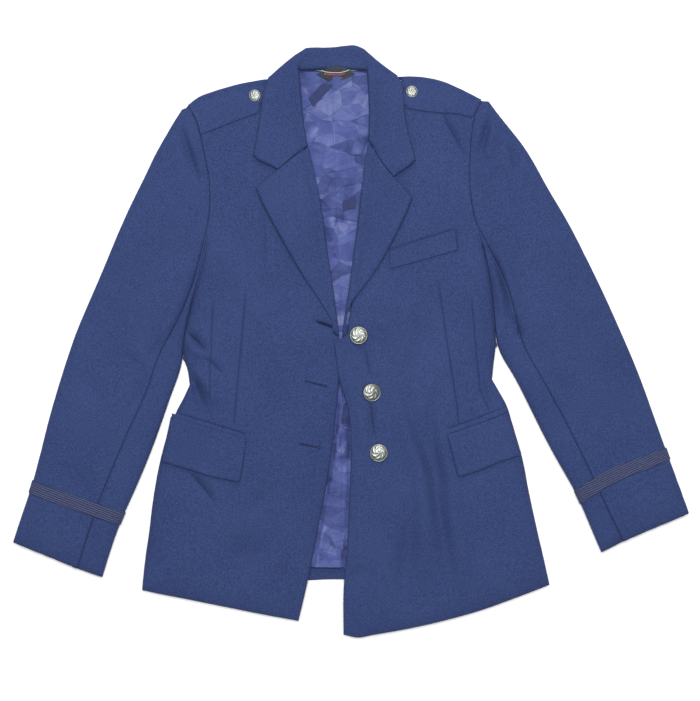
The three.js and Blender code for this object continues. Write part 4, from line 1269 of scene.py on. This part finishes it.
ARMHOLE_TIP = 3.5
for hand in ("right", "left"):
    edges, seam = sleeve_edges(hand)
    seam_strip(f"sleeve_seam_{hand}", seam, lambda plan: on_sleeve(hand, edges, plan))
    line = armholes[hand]
    if line[0, 1] < line[-1, 1]:
        line = line[::-1]
    tip = line[0] + (line[0] - line[2]) / np.linalg.norm(line[0] - line[2]) * ARMHOLE_TIP * MM
    seam_strip(f"armhole_seam_{hand}", np.vstack([tip, line, line[-1:]]), on_body, (0, 2))
    for part in ("topsleeve", "undersleeve"):
        piece = divided(f"{part}_{hand}_cloth", f"{part}_{hand}", serge)
        lift_sleeve(piece, hand, edges, seam)
    braid = divided(f"braid_{hand}_ribbon", f"cuff_braid_{hand}", braid_cloth[hand])
    lift_sleeve(braid, hand, edges)

# %% [markdown]
# ## Buttonholes
# A tailor's keyhole buttonhole is a slit with a round eye, edged all round with purl stitches in
# silk twist. Each stitch here is a short bar across the edge, and all the bars of a buttonhole are
# one mesh.

# %% Buttonholes
BUTTONHOLES = [
    dict(eye=(-21, 17.5), tail=(-42, 24.5)),
    dict(eye=(-32, -55.5), tail=(-56, -49.5)),
    dict(eye=(-40, -132), tail=(-62, -127.5)),
]
STITCH = 0.75
SLIT_HALF, EYE_RADIUS = 0.35, 1.3
EYE_STITCHES, BAR_STITCHES, BAR_STEP = 18, 5, 0.6
for number, row in enumerate(BUTTONHOLES, start=1):
    eye = np.array(row["eye"], float) * MM
    tail = np.array(row["tail"], float) * MM
    ahead = (tail - eye) / np.linalg.norm(tail - eye)
    across = np.array([-ahead[1], ahead[0]])
    length = np.linalg.norm(tail - eye)
    path = []
    for k in np.arange(1.9 * MM, length, STITCH * MM):
        for side in (-1, 1):
            path.append((eye + ahead * k + across * side * SLIT_HALF * MM, across * side))
    for k in range(EYE_STITCHES):
        a = math.pi * (0.15 + 1.7 * k / (EYE_STITCHES - 1))
        way = ahead * math.cos(a) + across * math.sin(a)
        path.append((eye + way * EYE_RADIUS * MM, way))
    for k in range(BAR_STITCHES):
        path.append((tail + ahead * BAR_STEP * MM + across * (k - 2) * BAR_STEP * MM, ahead))
    plan = np.array([p for p, _ in path])
    level = on_body(plan) + FRONT_TOP * MM
    parts = [
        bar(p - way * 0.25 * MM, p + way * 0.75 * MM, 0.3 * MM, z - 0.6 * MM, z + 0.4 * MM)
        for (p, way), z in zip(path, level)
    ]
    joined(f"buttonhole_{number}_stitches", parts, thread)
print("buttonholes:", len(BUTTONHOLES))

# %% [markdown]
# ## Buttons
# A uniform button is a stamped dome with a rolled rim. The stamping is a plain one: a whorl of
# leaves with fine veins round a lobed boss. The mesh is a polar grid whose height is the dome plus
# the stamping, as a share of the button's radius.

# %% Buttons
RINGS, SPOKES = 34, 96
STAMPED_TO, WORN_TO = 0.93, 0.9
STAMP_HEIGHT = 0.042
BACK_DEPTH = 0.16
BACK_RINGS = (0.96, 0.6, 0.02)
SHANK_ROOM = 0.3 * MM


def stamping(r, a):
    """Relief from 0 to 1 on the button's face, at radius share r and angle a."""
    leaves = math.exp(-((r - 0.62) / 0.17) ** 2) * (0.5 + 0.5 * math.sin(7 * a + 11 * r))
    veins = 0.35 * math.exp(-((r - 0.6) / 0.2) ** 2) * (0.5 + 0.5 * math.sin(23 * a - 17 * r))
    boss = math.exp(-(r / 0.36) ** 4) * (0.62 + 0.38 * math.sin(4 * a + 9 * r) * min(1, 6 * r))
    return min(1.0, leaves + veins + boss)


def on_rings(shares, radius, value):
    """Points of a polar grid, with what value says of each share of the radius and angle."""
    points, values = [], []
    for r in shares:
        for k in range(SPOKES):
            a = 2 * math.pi * k / SPOKES - math.pi
            height, worn = value(r, a)
            points.append((r * radius * math.cos(a), r * radius * math.sin(a), height * radius))
            values.append(worn)
    return points, values


def face_of_button(r, a):
    """Height and relief of the stamped face."""
    stamp = stamping(r, a) if r < STAMPED_TO else 0
    dome = 0.34 * math.sqrt(max(0, 1 - (0.86 * r) ** 2)) - 0.18
    rim = 0.05 * math.exp(-((r - 0.95) / 0.03) ** 2)
    edge = -0.16 * max(0, (r - 0.965) / 0.035) ** 2
    return dome + rim + edge + STAMP_HEIGHT * stamp, 0.25 + 0.75 * stamp if r < WORN_TO else 0.7


def button(name, node, lean=(0, 0)):
    low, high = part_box(node)
    centre = Vector(((low[0] + high[0]) / 2, (low[1] + high[1]) / 2, 0))
    radius = (high[0] - low[0]) / 2 / math.cos(lean[1])
    rise = on_body(np.array([[centre.x, centre.y]]))[0]
    points, relief = on_rings([i / RINGS for i in range(RINGS + 1)], radius, face_of_button)
    back = len(points)
    back_points, back_relief = on_rings(BACK_RINGS, radius, lambda r, a: (-BACK_DEPTH, 0.1))
    points += back_points
    relief += back_relief
    faces = []
    rows = RINGS + 1 + len(BACK_RINGS)
    for i in range(rows - 1):
        for k in range(SPOKES):
            j = (k + 1) % SPOKES
            faces.append((i * SPOKES + k, (i + 1) * SPOKES + k, (i + 1) * SPOKES + j, i * SPOKES + j))
    faces.append(tuple(range(back + 2 * SPOKES, back + 3 * SPOKES)))
    piece = object_from(name, points, faces, nickel)
    made = bmesh.new()
    made.from_mesh(piece.data)
    layer = made.verts.layers.float.new("relief")
    made.verts.ensure_lookup_table()
    for vert, value in zip(made.verts, relief):
        vert[layer] = value
    bmesh.ops.remove_doubles(made, verts=made.verts, dist=0.005 * MM)
    made.to_mesh(piece.data)
    made.free()
    place = Vector((centre.x, centre.y, low[2] + rise + BACK_DEPTH * radius + SHANK_ROOM))
    turn = Matrix.Rotation(lean[0], 4, "X") @ Matrix.Rotation(lean[1], 4, "Y")
    piece.data.transform(Matrix.Translation(place) @ turn)
    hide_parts(node)
    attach(piece, "root")


LEANS = {"button_front_2": (0.05, 0.16)}
BUTTONS = ("front_1", "front_2", "front_3", "shoulder_right", "shoulder_left")
for place in BUTTONS:
    button(f"nickel_button_{place}", f"button_{place}", LEANS.get(f"button_{place}", (0, 0)))
print("buttons:", len(BUTTONS))

# %% [markdown]
# ## Floor, light and camera
# The tunic lies on a plain pale floor. Big soft lights from above leave only faint shadows, and the
# camera looks straight down from about two metres.

# %% Floor
FLOOR_SIZE, FLOOR_LEVEL = 6, -0.0006
bpy.ops.mesh.primitive_plane_add(size=FLOOR_SIZE, location=(0, 0, FLOOR_LEVEL))
floor = bpy.context.object
floor.name = "floor"
paper, tree, shader, place = new_finish("white_paper_floor")
fibre = noise(tree, place, 4, Detail=2.0)
bump = add(tree, "ShaderNodeBump", {
    "Height": fibre.outputs["Fac"], "Strength": 0.05, "Distance": 0.1 * MM,
})
feed(tree, shader, {
    "Normal": bump.outputs["Normal"], "Base Color": linear("#ffffff"), "Roughness": 0.9,
})
floor.data.materials.append(paper)
print("floor finish:", paper.name)

# %% Lights
WORLD_STRENGTH = 0.36
BOX_SIZE = 1.0


def soft_light(name, place, power):
    lamp = bpy.data.lights.new(name, "AREA")
    lamp.shape = "SQUARE"
    lamp.size = BOX_SIZE
    lamp.energy = power
    holder = bpy.data.objects.new(name, lamp)
    holder.location = place
    holder.rotation_euler = (-Vector(place)).to_track_quat("-Z", "Y").to_euler()
    bpy.context.scene.collection.objects.link(holder)


soft_light("overhead_box", (0, 0.4, 2.7), 64)
soft_light("top_box", (0, 2.0, 1.5), 16)
world = bpy.data.worlds.new("studio_air")
world.use_nodes = True
background = world.node_tree.nodes["Background"]
feed(world.node_tree, background, {"Color": (1, 1, 1, 1), "Strength": WORLD_STRENGTH})
bpy.context.scene.world = world
bpy.context.scene.view_settings.view_transform = "Standard"
print("lights:", len(bpy.data.lights))

# %% Camera
VIEW_WIDTH = 0.875
FOCAL, SENSOR = 85, 36
AIM = (-0.00125, -0.01125)
CLOTH_LEVEL = 0.008
camera_data = bpy.data.cameras.new("camera")
camera_data.lens = FOCAL
camera_data.sensor_width = SENSOR
camera = bpy.data.objects.new("camera", camera_data)
camera.location = (*AIM, VIEW_WIDTH * FOCAL / SENSOR + CLOTH_LEVEL)
bpy.context.scene.collection.objects.link(camera)
bpy.context.scene.camera = camera
print("camera at:", tuple(camera.location))
